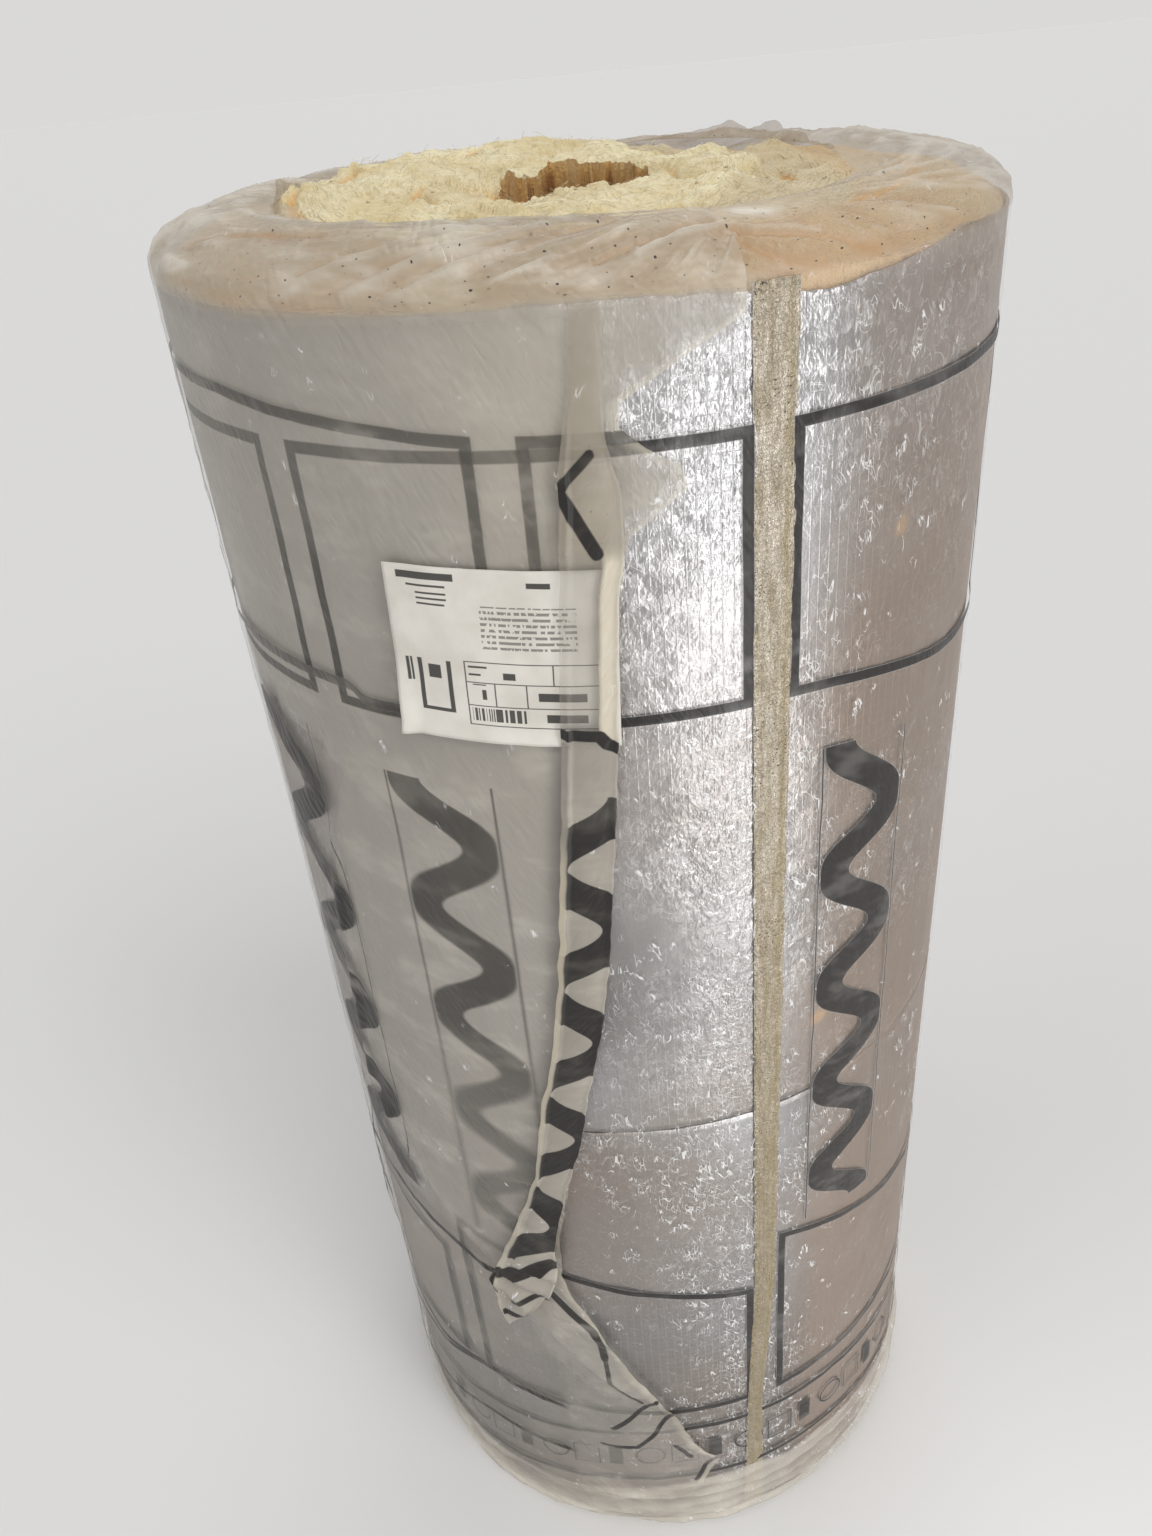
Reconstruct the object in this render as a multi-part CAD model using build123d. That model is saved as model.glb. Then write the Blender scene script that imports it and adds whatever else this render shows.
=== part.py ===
from build123d import *
from math import cos, degrees, pi, radians, sin, sqrt
import os

# Insulation roll: a pack of two mineral wool lamella mats. Each mat is wound into a roll with its
# foil facing outwards, one roll stands on the other, and clear film is shrunk round both.
# Millimetres, +Z up. The origin is on the floor, on the axis of the winding.
# The front, with the label, faces -Y. Angles are in degrees from the front and grow to the right.

# The mat before it was wound
mat_length = 3000.0
mat_width = 600.0  # stands on end, so this is the height of one roll
mat_thickness = 80.0
facing_thickness = 0.5

# The winding
eye_radius = 55.0
roll_radius = sqrt(eye_radius**2 + mat_length * mat_thickness / pi)
joint_gap = 2.0  # between the two facings, where the wool of the rolls meets
upper_winding_start = 20.0  # how far round from the right side its spiral begins
lower_winding_start = 140.0

# Past the facing the loose wool swells and rounds over
top_swell = 28.0
top_shoulder = 62.0
foot_swell = 9.0
foot_shoulder = 14.0
top_round_points = 5  # along the rounded section of the free end, from the wall inwards
foot_round_points = 3

# The groove between one turn and the next, in the flat of each end of a roll
groove_width = 12.0
groove_depth = 18.0
groove_inset = 16.0  # from the eye, and from where the end rounds over
groove_points = 12  # in each turn of its spiral

# The film sleeve, gathered at both ends round an open mouth
film_thickness = 0.5
foot_mouth_reach = 77.0  # how far in from the wall the lower mouth is
# The same for the torn upper mouth, at equal steps round from the right side
top_mouth_reach = [102, 94, 76, 50, 44, 64, 84, 76, 82, 80, 84, 79, 70, 66, 70, 96]

# The loose lap of film over the sleeve, from the back round the left side to the front
lap_looseness = 0.6
lap_back_angle = -168.0
lap_front_angle = 14.0
lap_foot_height = 24.0
# Its torn edge at the front: the angle, and the height as a share of the facings' top
lap_tear = [
    (8.0, 0.972), (1.0, 0.954), (3.6, 0.921), (-0.3, 0.897), (-1.6, 0.794), (-4.6, 0.693),
    (-7.6, 0.619), (-11.2, 0.535), (-15.4, 0.456), (-21.0, 0.373), (-19.6, 0.329),
    (-13.4, 0.272), (-5.5, 0.221), (0.4, 0.179), (-8.0, 0.136), (-4.0, 0.079),
]

# The strip of tape that closes the sleeve: the angle, the share of the facings' top, the width
tape_thickness = 0.3
tape_run = [(15.0, 0.013, 22.0), (15.3, 0.172, 15.0), (17.2, 0.315, 20.0), (17.6, 1.0, 27.0)]

# The paper label on the lap
label_width = 134.0
label_height = 112.0
label_thickness = 0.3
label_right_angle = -2.7
label_middle = 0.843  # the height of its middle, as a share of the facings' top
label_tilt = -2.0

# What follows from those
lower_facing_foot = film_thickness + foot_swell
lower_facing_top = lower_facing_foot + mat_width
joint_height = lower_facing_top + joint_gap / 2
upper_facing_foot = lower_facing_top + joint_gap
upper_facing_top = upper_facing_foot + mat_width
wool_top = upper_facing_top + top_swell
facing_radius = roll_radius + facing_thickness
sleeve_radius = facing_radius + film_thickness
lap_inner_radius = sleeve_radius + lap_looseness
lap_radius = lap_inner_radius + film_thickness
clear = 60.0  # how far a cutting shape runs past what it cuts


def round_over(centre, reach, rise, count):
    """That many points up a quarter ellipse, from the wall to the end."""
    turns = [pi / 2 * step / (count - 1) for step in range(count)]
    return [centre + Vector(reach * cos(turn), rise * sin(turn)) for turn in turns]


def pack_section(wall, rise):
    """Half the section of all that lies inside a wall, and within a rise past the wool's ends."""
    foot = film_thickness - rise
    top = wool_top + rise
    foot_centre = Vector(roll_radius - foot_shoulder, lower_facing_foot)
    top_centre = Vector(roll_radius - top_shoulder, upper_facing_top)
    foot_points = round_over(
        foot_centre, wall - foot_centre.X, foot - foot_centre.Y, foot_round_points
    )
    top_points = round_over(top_centre, wall - top_centre.X, top - top_centre.Y, top_round_points)
    return make_face(Polyline((0, foot), *foot_points[::-1], *top_points, (0, top), close=True))


def turned(section, start=0.0, arc=360.0):
    return revolve(Plane.XZ.rotated((0, 0, start)) * section, Axis.Z, arc)


def film(inner_wall, start=0.0, arc=360.0):
    """A film that follows the pack, outside that wall, with closed ends."""
    rise = inner_wall - facing_radius
    outer = pack_section(inner_wall + film_thickness, rise + film_thickness)
    return turned(outer - pack_section(inner_wall, rise), start, arc)


def upright(outline, foot, top):
    return extrude(Plane.XY.offset(foot) * outline, top - foot)


def on_front(points, radius):
    """A cutter that is through the front wall where the points, angle and height, lie on it."""
    outline = Polyline([(radius * sin(radians(angle)), z) for angle, z in points], close=True)
    return extrude(Plane.XZ * make_face(outline), radius + clear)


def end_groove(height, inwards):
    """The spiral between the turns, as a V groove. Inwards is 1 for up and -1 for down."""
    start = eye_radius + groove_inset
    turns = (roll_radius - top_shoulder - groove_inset - start) / mat_thickness
    steps = round(turns * groove_points)
    spiral = Spline([
        Vector(start + mat_thickness * turns * step / steps, 0, height).rotate(
            Axis.Z, 360 * turns * step / steps
        )
        for step in range(steps + 1)
    ])
    section = Polyline(
        [
            (0, inwards * groove_depth),
            (groove_width, -inwards * groove_depth),
            (-groove_width, -inwards * groove_depth),
        ],
        close=True,
    )
    along = spiral % 0
    plane = Plane(spiral @ 0, x_dir=Vector(0, 0, 1).cross(along), z_dir=along)
    return sweep(plane * make_face(section), path=spiral)


def wound_ends(foot, top, start):
    """The grooves of both ends of a roll. They are the two ends of one spiral."""
    return Rot(0, 0, start) * (end_groove(foot, 1) + end_groove(top, -1))


def wool_rolls():
    """Both mats as turned solids with one bore, parted where they meet."""
    eye = upright(Circle(eye_radius), -clear, wool_top + clear)
    wool = turned(pack_section(roll_radius, 0)) - eye
    joint = Plane.XY.offset(joint_height)
    upper_ends = wound_ends(joint_height, wool_top, upper_winding_start)
    lower_ends = wound_ends(film_thickness, joint_height, lower_winding_start)
    upper = split(wool, joint, keep=Keep.TOP) - upper_ends
    lower = split(wool, joint, keep=Keep.BOTTOM) - lower_ends
    return upper, lower


def facing(foot):
    ring = Circle(facing_radius) - Circle(roll_radius)
    return upright(ring, foot, foot + mat_width)


def torn_mouth():
    """The upper mouth of the film, as a cutter."""
    steps = len(top_mouth_reach)
    rim = Spline(
        [
            Vector(roll_radius - reach, 0).rotate(Axis.Z, 360 * step / steps)
            for step, reach in enumerate(top_mouth_reach)
        ],
        periodic=True,
    )
    return upright(make_face(rim), joint_height, wool_top + clear)


def film_sleeve():
    lower_mouth = upright(Circle(roll_radius - foot_mouth_reach), -clear, joint_height)
    return film(facing_radius) - lower_mouth - torn_mouth()


def film_lap():
    """One more turn of film, which is torn at the front and stops short of the floor."""
    lap = film(lap_inner_radius, lap_back_angle - 90, lap_front_angle - lap_back_angle)
    tear = [(angle, share * upper_facing_top) for angle, share in lap_tear]
    beyond_tear = on_front(
        [(90, -clear), (90, upper_facing_top), (lap_front_angle, upper_facing_top), *tear,
         (lap_tear[-1][0], -clear)],
        lap_radius,
    )
    below_lap = upright(Circle(lap_radius + clear), -clear, lap_foot_height)
    return lap - torn_mouth() - beyond_tear - below_lap


def closing_tape():
    left, right = [], []
    for angle, share, width in tape_run:
        half_angle = degrees(width / 2 / sleeve_radius)
        left.append((angle - half_angle, share * upper_facing_top))
        right.append((angle + half_angle, share * upper_facing_top))
    ring = Circle(sleeve_radius + tape_thickness) - Circle(sleeve_radius)
    return upright(ring, 0, upper_facing_top) & on_front(right + left[::-1], sleeve_radius)


def label():
    corners = []
    for x, y in ((-1, -1), (1, -1), (1, 1), (-1, 1)):
        corner = Vector(x * label_width / 2, y * label_height / 2).rotate(Axis.Z, label_tilt)
        angle = label_right_angle + degrees((corner.X - label_width / 2) / lap_radius)
        corners.append((angle, label_middle * upper_facing_top + corner.Y))
    ring = Circle(lap_radius + label_thickness) - Circle(lap_radius)
    return upright(ring, 0, upper_facing_top) & on_front(corners, lap_radius)


upper_wool_roll, lower_wool_roll = wool_rolls()
pieces = {
    "upper_wool_roll": upper_wool_roll,
    "lower_wool_roll": lower_wool_roll,
    "upper_foil_facing": facing(upper_facing_foot),
    "lower_foil_facing": facing(lower_facing_foot),
    "film_sleeve": film_sleeve(),
    "film_lap": film_lap(),
    "closing_tape": closing_tape(),
    "label": label(),
}

os.makedirs("parts", exist_ok=True)
for name, piece in pieces.items():
    export_step(piece, f"parts/{name}.step")
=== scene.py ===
# Insulation roll: the looks of the wool, the foil, the printed film, the tape and the label.
# Metres, +Z up, the label faces -Y. Angles are in degrees from the front and grow to the right.
import itertools
import math

import bmesh
import bpy
import numpy as np
from mathutils import Matrix, Vector


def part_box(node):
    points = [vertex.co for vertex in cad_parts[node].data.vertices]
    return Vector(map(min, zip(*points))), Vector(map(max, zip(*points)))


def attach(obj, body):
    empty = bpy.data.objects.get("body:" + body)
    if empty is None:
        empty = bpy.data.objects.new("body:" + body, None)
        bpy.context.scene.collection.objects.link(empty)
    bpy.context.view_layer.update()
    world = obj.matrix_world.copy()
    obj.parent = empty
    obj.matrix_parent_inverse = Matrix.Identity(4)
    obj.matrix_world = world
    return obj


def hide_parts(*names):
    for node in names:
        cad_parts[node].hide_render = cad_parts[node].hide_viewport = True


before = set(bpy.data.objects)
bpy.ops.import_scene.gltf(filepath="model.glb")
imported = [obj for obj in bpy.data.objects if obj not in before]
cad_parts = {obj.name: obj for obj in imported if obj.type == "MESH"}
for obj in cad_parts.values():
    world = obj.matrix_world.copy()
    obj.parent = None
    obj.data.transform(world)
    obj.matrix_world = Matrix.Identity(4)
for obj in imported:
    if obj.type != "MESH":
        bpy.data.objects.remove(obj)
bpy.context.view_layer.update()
print("frame loaded:", len(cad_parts), "nodes")

# Sizes that the frame gives
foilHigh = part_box("upper_foil_facing")[1]
woolLow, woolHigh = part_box("upper_wool_roll")
foilRadius = foilHigh.x
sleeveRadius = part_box("film_sleeve")[1].x
wallTop = foilHigh.z  # where the foil ends and the loose wool begins
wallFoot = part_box("lower_foil_facing")[0].z
woolTop = woolHigh.z

roll = {
    "eyeRadius": 0.055,
    "matThickness": 0.080,
    "spiralStart": 0.071,  # the first turn line's distance from the axis
    "spiralTurn": 20.0,  # where it starts, from the right side
    "shoulderReach": 0.062,
    "footReach": 0.015,
    # the torn mouth: how far in from the wall it is, in mm, at equal steps from the right side
    "mouthReach": [102, 94, 76, 50, 44, 64, 84, 76, 82, 80, 84, 79, 70, 66, 70, 96],
    "footMouth": 0.077,
    "mouthSink": 0.0022,  # how far the film sinks at the torn mouth
    "overEndRun": 0.10,  # how far the print runs over the shoulder to the mouth
    "gather": (19.0, 0.93),  # where the pleats of the upper film meet: angle, share of the way in
    "tear": [  # the lap's torn front edge: angle, height
        (14.0, 1.2115), (14.0, 1.193), (9.0, 1.187), (1.0, 1.165), (-0.8, 1.157), (2.0, 1.142),
        (6.8, 1.127), (7.4, 1.113), (4.3, 1.104), (0.6, 1.090), (-0.4, 1.070), (-0.9, 1.040),
        (-2.2, 0.966), (-3.7, 0.884), (-5.8, 0.788), (-7.6, 0.730), (-9.4, 0.684), (-12.4, 0.608),
        (-16.0, 0.531), (-18.4, 0.472), (-18.6, 0.425), (-17.6, 0.400), (-14.6, 0.372), (-12.4, 0.346),
        (-10.0, 0.314), (-7.6, 0.285), (-4.4, 0.256), (-0.9, 0.221), (2.4, 0.165), (5.6, 0.140),
        (7.4, 0.128), (6.8, 0.100), (5.4, 0.060), (4.0, 0.024),
    ],
    "hazeEdge": [  # where the lap's haze begins at the left: angle, height
        (-75.0, 0.965), (-41.9, 0.925), (-51.0, 0.820), (-53.3, 0.771), (-57.5, 0.559), (-47.4, 0.483),
        (-34.9, 0.426), (-28.0, 0.378), (-24.0, 0.300), (-15.0, 0.250), (-6.0, 0.215), (6.0, 0.190),
    ],
    "lapBack": -168.0,
    "lapFoot": 0.024,
    # where the film begins to turn under at the foot: angle, height
    "footLine": [
        (-180, 0.040), (-70, 0.044), (-40, 0.050), (-23, 0.056), (-10, 0.072), (3, 0.083), (16, 0.088),
        (23, 0.076), (31, 0.079), (60, 0.062), (110, 0.044), (180, 0.040),
    ],
}
woolRadius = foilRadius - 0.0005
shoulderStart = woolRadius - roll["shoulderReach"]


# Noise and shapes in numpy

def latticeNoise(points, size, seed):
    # smooth noise, about -1 to 1, with lumps of that size
    picker = np.random.RandomState(seed)
    shuffle = np.tile(picker.permutation(256), 2)
    slopes = picker.normal(size=(256, 3))
    slopes /= np.linalg.norm(slopes, axis=1, keepdims=True)
    place = np.asarray(points, float) / size
    cell = np.floor(place).astype(int)
    part = place - cell
    fade = part ** 3 * (part * (part * 6 - 15) + 10)
    total = np.zeros(place.shape[:-1])
    for corner in itertools.product((0, 1), repeat=3):
        x, y, z = ((cell[..., axis] + corner[axis]) & 255 for axis in range(3))
        slope = slopes[shuffle[shuffle[shuffle[x] + y] + z]]
        share = np.where(corner, fade, 1 - fade).prod(axis=-1)
        total += share * (slope * (part - corner)).sum(axis=-1)
    return total * 1.7


def layeredNoise(points, size, seed, layers=3, gain=0.5):
    return sum(gain ** k * latticeNoise(points, size / 2 ** k, seed + k) for k in range(layers))


def ridges(points, size, seed, sharp=1.0):
    # crests, 0 to 1, where the noise crosses zero
    return np.clip(1 - 2 * np.abs(latticeNoise(points, size, seed)), 0, 1) ** sharp


def ease(low, high, value):
    share = np.clip((value - low) / (high - low), 0, 1)
    return share * share * (3 - 2 * share)


def roundRun(values, share):
    # a smooth closed run through the values; the share goes from 0 to 1 once round
    values = np.asarray(values, float)
    place = np.mod(share, 1) * len(values)
    first = np.floor(place).astype(int)
    part = place - first
    before, start, end, after = (values[(first + k) % len(values)] for k in (-1, 0, 1, 2))
    slope = (end - before) / 2
    bend = before - 2.5 * start + 2 * end - 0.5 * after
    twist = 1.5 * (start - end) + 0.5 * (after - before)
    return start + part * (slope + part * (bend + part * twist))


def places(*parts):
    # one array of places from their x, y and z, whose shapes may differ
    return np.stack(np.broadcast_arrays(*parts), axis=-1)


def wallPoint(angle, radius, height):
    turn = np.radians(angle)
    return places(radius * np.sin(turn), -radius * np.cos(turn), height)


def near(value, middle, reach):
    return np.exp(-(((value - middle) / reach) ** 2))


def readTable(table, value):
    # the second column of a table that is read by its first
    return np.interp(value, *np.array(table).T)


def along(table, value):
    # the first column of a table that is read by its second
    firsts, seconds = np.array(table).T
    order = np.argsort(seconds)
    return np.interp(value, seconds[order], firsts[order])


def stretched(points, across, up):
    # the same points with their sides and heights scaled, for noise that runs one way
    return points * np.array([across, across, up])


# Meshes

def gridMesh(name, points, roundClosed=False, endsClosed=False, unrolled=None, fields=None):
    rows, columns = points.shape[:2]
    index = np.arange(rows * columns).reshape(rows, columns)
    if roundClosed:
        index = np.concatenate([index, index[:, :1]], axis=1)
    if endsClosed:
        index = np.concatenate([index, index[:1]], axis=0)
    quads = np.stack([index[:-1, :-1], index[:-1, 1:], index[1:, 1:], index[1:, :-1]], axis=-1)
    mesh = bpy.data.meshes.new(name)
    mesh.from_pydata(points.reshape(-1, 3).tolist(), [], quads.reshape(-1, 4).tolist())
    if unrolled is not None:
        corners = [unrolled[:-1, :-1], unrolled[:-1, 1:], unrolled[1:, 1:], unrolled[1:, :-1]]
        layer = mesh.uv_layers.new(name="Unrolled")
        layer.uv.foreach_set("vector", np.stack(corners, axis=2).ravel().astype(np.float32))
    for key, values in (fields or {}).items():
        values = np.ascontiguousarray(values, np.float32)
        threefold = values.shape == points.shape
        field = mesh.attributes.new(key, "FLOAT_VECTOR" if threefold else "FLOAT", "POINT")
        field.data.foreach_set("vector" if threefold else "value", values.ravel())
    mesh.shade_smooth()
    return mesh


def bandMesh(name, outer, inner, unrolled, fields=None):
    # a closed thin band: both faces, both long edges and both ends
    points = np.concatenate([outer, inner[:, ::-1]], axis=1)
    both = np.concatenate([unrolled, unrolled[:, ::-1], unrolled[:, :1]], axis=1)
    fields = {key: np.concatenate([v, v[:, ::-1]], axis=1) for key, v in (fields or {}).items()}
    mesh = gridMesh(name, points, roundClosed=True, unrolled=both, fields=fields)
    shaped = bmesh.new()
    shaped.from_mesh(mesh)
    shaped.verts.ensure_lookup_table()
    columns = outer.shape[1]
    for first in (0, (outer.shape[0] - 1) * 2 * columns):
        for k in range(columns - 1):
            ring = [first + k, first + k + 1, first + 2 * columns - 2 - k, first + 2 * columns - 1 - k]
            face = shaped.faces.new([shaped.verts[i] for i in (ring if first else ring[::-1])])
            face.smooth = True
    shaped.to_mesh(mesh)
    shaped.free()
    return mesh


def addPiece(mesh, material, slot, *nodes):
    piece = bpy.data.objects.new(mesh.name, mesh)
    bpy.context.scene.collection.objects.link(piece)
    mesh.materials.append(material)
    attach(piece, "root")
    if nodes:
        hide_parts(*nodes)
    triangles = sum(len(face.vertices) - 2 for face in mesh.polygons)
    print(f"{mesh.name}: {triangles} triangles")
    return piece


# Shader nodes

class NodeWriter:
    # short ways to add nodes to one material or group; values are sockets or numbers
    def __init__(self, tree):
        self.tree = tree

    def feed(self, socket, value):
        if isinstance(value, bpy.types.NodeSocket):
            self.tree.links.new(value, socket)
        else:
            socket.default_value = value

    def add(self, kind, inputs=None, **settings):
        node = self.tree.nodes.new(kind)
        for key, value in settings.items():
            setattr(node, key, value)
        for key, value in (inputs or {}).items():
            self.feed(node.inputs[key], value)
        return node

    def math(self, operation, *values):
        return self.add("ShaderNodeMath", dict(enumerate(values)), operation=operation).outputs[0]

    def plus(self, first, second):
        return self.math("ADD", first, second)

    def minus(self, first, second):
        return self.math("SUBTRACT", first, second)

    def times(self, first, second):
        return self.math("MULTIPLY", first, second)

    def gap(self, first, second):
        # how far two values lie apart
        return self.math("ABSOLUTE", self.minus(first, second))

    def outside(self, value, reach):
        # how far a value lies past that reach on either side of 0; less than 0 within it
        return self.minus(self.math("ABSOLUTE", value), reach)

    def lines(self, value, count, width, strength=1.0):
        # thin lines at equal steps, so many to each unit of the value
        return self.spread(self.math("PINGPONG", self.times(value, count), 0.5), 0.0, width, strength, 0.0)

    def least(self, *values):
        result = values[0]
        for value in values[1:]:
            result = self.math("MINIMUM", result, value)
        return result

    def most(self, *values):
        result = values[0]
        for value in values[1:]:
            result = self.math("MAXIMUM", result, value)
        return result

    def spread(self, value, low, high, toLow=0.0, toHigh=1.0):
        inputs = {0: value, 1: low, 2: high, 3: toLow, 4: toHigh}
        return self.add("ShaderNodeMapRange", inputs, interpolation_type="SMOOTHSTEP").outputs[0]

    def vector(self, operation, first, second, output="Vector"):
        return self.add("ShaderNodeVectorMath", {0: first, 1: second}, operation=operation).outputs[output]

    def scaled(self, vector, x, y, z):
        return self.vector("MULTIPLY", vector, (x, y, z))

    def split(self, vector):
        return self.add("ShaderNodeSeparateXYZ", {0: vector}).outputs

    def noise(self, at, scale, detail=2.0, rough=0.5, bend=0.0, flat=False):
        inputs = {"Vector": at, "Scale": scale, "Detail": detail, "Roughness": rough, "Distortion": bend}
        dimensions = "2D" if flat else "3D"
        return self.add("ShaderNodeTexNoise", inputs, noise_dimensions=dimensions).outputs["Fac"]

    def facets(self, at, scale):
        # flat cells that each lean their own way: their height, and how far each leans up or down
        inputs = {"Vector": at, "Scale": scale}
        cell = self.add("ShaderNodeTexVoronoi", inputs, voronoi_dimensions="2D").outputs
        lean = self.vector("SUBTRACT", cell["Color"], (0.5, 0.5, 0.5))
        offset = self.vector("SUBTRACT", at, cell["Position"])
        height = self.vector("DOT_PRODUCT", lean, offset, "Value")
        return height, self.split(lean)[1]

    def crest(self, value, width=0.08):
        # 1 where a noise passes its middle, 0 away from there
        return self.spread(self.gap(value, 0.5), 0.0, width, 1.0, 0.0)

    def mix(self, share, first, second):
        node = self.add("ShaderNodeMix", data_type="RGBA")
        for place, value in ((0, share), (6, first), (7, second)):
            self.feed(node.inputs[place], (*value, 1.0) if isinstance(value, tuple) else value)
        return node.outputs[2]

    def blend(self, share, first, second):
        return self.add("ShaderNodeMix", {0: share, 2: first, 3: second}).outputs[0]

    def field(self, name, output="Fac"):
        return self.add("ShaderNodeAttribute", attribute_name=name).outputs[output]

    def objectPlace(self):
        return self.add("ShaderNodeTexCoord").outputs["Object"]

    def unrolledPlace(self):
        return self.add("ShaderNodeUVMap", uv_map="Unrolled").outputs[0]

    def unrolledMetres(self):
        # metres round the wall and up it
        return self.scaled(self.unrolledPlace(), 2 * math.pi * sleeveRadius, film["unrolledLength"], 0.0)

    def group(self, tree, inputs):
        node = self.tree.nodes.new("ShaderNodeGroup")
        node.node_tree = tree
        for key, value in inputs.items():
            self.feed(node.inputs[key], value)
        return node.outputs

    def bump(self, height, distance, strength=1.0):
        inputs = {"Height": height, "Distance": distance, "Strength": strength}
        return self.add("ShaderNodeBump", inputs).outputs[0]


def newMaterial(name, settings):
    material = bpy.data.materials.new(name)
    material.use_nodes = True
    shader = material.node_tree.nodes["Principled BSDF"]
    for key, value in settings.items():
        shader.inputs[key].default_value = value
    return material, shader, NodeWriter(material.node_tree)


def newGroup(name, inputs, outputs):
    # inputs: name to default, which is None for a place; all the rest are numbers
    tree = bpy.data.node_groups.new(name, "ShaderNodeTree")
    for key, default in inputs.items():
        kind = "NodeSocketVector" if default is None else "NodeSocketFloat"
        socket = tree.interface.new_socket(name=key, in_out="INPUT", socket_type=kind)
        if default is not None:
            socket.default_value = default
    for key in outputs:
        tree.interface.new_socket(name=key, in_out="OUTPUT", socket_type="NodeSocketFloat")
    writer = NodeWriter(tree)
    return tree, writer, writer.add("NodeGroupInput").outputs, writer.add("NodeGroupOutput").inputs


# How the film's print lies, in metres along the wall and degrees round it
film = {
    "unrolledLength": 1.6,  # the length that the map's upright runs over
    "footRun": 0.1,  # how much of it lies below height 0
    "metresPerDegree": sleeveRadius * math.pi / 180,
}


def framesGroup():
    # the printed frames, lines, bars and the wavy band, as one ink mask
    settings = {
        "column": 60.0,  # degrees from one frame to the next
        "halfWidth": 0.1328,
        "stroke": 0.0072,
        "upperTop": 1.139,
        "upperFoot": 0.975,
        "lowerTop": 0.4125,
        "lowerSlant": -0.00115,  # metres for each degree
        "lowerFoot": 0.214,
        "lineFall": 0.050,  # how much lower the round lines lie at the sides
        "lineGap": 0.086,
        "thinStroke": 0.0062,
        "bandMiddle": -0.070,
        "bandHalfWidth": 0.040,
        "bandFoot": 0.452,
        "bandTop": 0.928,
        "waveReach": 0.0245,
        "waveLength": 0.1058,
        "waveStroke": 0.026,
        "borderStroke": 0.0030,
        "signs": 20.0,  # degrees from one set of plain signs to the next
        # where each sign stands in its set, and its sizes, in metres
        "ringMiddle": -0.030,
        "ringRadius": 0.014,
        "ringHalfStroke": 0.0014,
        "squareMiddle": 0.004,
        "squareHalfWidth": 0.013,
        "squareHalfStroke": 0.0010,
        "barMiddle": 0.034,
        "barHalfWidth": 0.007,
        "signHalfHeight": 0.016,
    }
    tree, make, given, out = newGroup(
        "printedFrames",
        {
            "Vector": None,
            "Gap Centre": 17.4,
            "Line Height": 0.183,
            "Line Middle": 15.0,
            "Signs": 1.0,
            "Softness": 0.0008,
        },
        ["Ink"],
    )
    apart = make.split(given["Vector"])
    angle = make.math("MULTIPLY_ADD", apart[0], 360.0, -180.0)
    height = make.math("MULTIPLY_ADD", apart[1], film["unrolledLength"], -film["footRun"])
    turned = make.minus(angle, given["Gap Centre"])
    across = make.minus(make.math("WRAP", turned, settings["column"], 0.0), settings["column"] / 2)
    side = make.times(across, film["metresPerDegree"])
    fromMiddle = make.math("ABSOLUTE", side)

    def outline(topHeight, footHeight, stroke):
        inside = make.most(
            make.minus(fromMiddle, settings["halfWidth"]),
            make.minus(height, topHeight),
            make.minus(footHeight, height),
        )
        return make.outside(inside, stroke / 2)

    def roundLine(middle, stroke):
        return make.minus(make.gap(height, middle), stroke / 2)

    slantedTop = make.math("MULTIPLY_ADD", across, settings["lowerSlant"], settings["lowerTop"])
    upper = outline(settings["upperTop"], settings["upperFoot"], settings["stroke"])
    lower = outline(slantedTop, settings["lowerFoot"], settings["stroke"])

    fromLineMiddle = make.gap(angle, given["Line Middle"])
    fall = make.spread(fromLineMiddle, 10.0, 80.0, 0.0, settings["lineFall"])
    lineHeight = make.minus(given["Line Height"], fall)
    firstLine = roundLine(lineHeight, settings["thinStroke"])
    secondHeight = make.minus(lineHeight, settings["lineGap"])
    secondLine = roundLine(secondHeight, settings["thinStroke"])

    # the wavy band beside the middle of each column, between two borders
    bandSide = make.minus(side, settings["bandMiddle"])
    turns = make.times(make.minus(height, settings["bandFoot"]), 2 * math.pi / settings["waveLength"])
    waveSide = make.times(make.math("COSINE", turns), settings["waveReach"])
    steep = settings["waveReach"] * 2 * math.pi / settings["waveLength"]
    slope = make.times(make.math("SINE", turns), steep)
    length = make.math("SQRT", make.math("MULTIPLY_ADD", slope, slope, 1.0))
    offWave = make.math("DIVIDE", make.gap(bandSide, waveSide), length)
    wave = make.minus(offWave, settings["waveStroke"] / 2)
    offBand = make.outside(bandSide, settings["bandHalfWidth"])
    border = make.outside(offBand, settings["borderStroke"] / 2)
    ends = make.most(
        make.minus(height, settings["bandTop"]),
        make.minus(settings["bandFoot"], height),
        offBand,
    )
    band = make.most(make.least(wave, border), ends)

    # plain signs between the two lines: a ring, an empty square and a bar
    signSide = make.math("WRAP", angle, settings["signs"] / 2, -settings["signs"] / 2)
    signSide = make.times(signSide, film["metresPerDegree"])
    signHeight = make.minus(height, make.plus(secondHeight, settings["lineGap"] / 2))

    def square(middle, halfWidth):
        wide = make.minus(make.gap(signSide, middle), halfWidth)
        return make.math("MAXIMUM", wide, make.outside(signHeight, settings["signHalfHeight"]))

    ringSide = make.minus(signSide, settings["ringMiddle"])
    away = make.math("MULTIPLY_ADD", ringSide, ringSide, make.times(signHeight, signHeight))
    ring = make.minus(make.gap(make.math("SQRT", away), settings["ringRadius"]), settings["ringHalfStroke"])
    emptySquare = square(settings["squareMiddle"], settings["squareHalfWidth"])
    emptySquare = make.outside(emptySquare, settings["squareHalfStroke"])
    bar = square(settings["barMiddle"], settings["barHalfWidth"])
    noSigns = make.minus(1.0, given["Signs"])
    signs = make.plus(make.least(ring, emptySquare, bar), noSigns)

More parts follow.
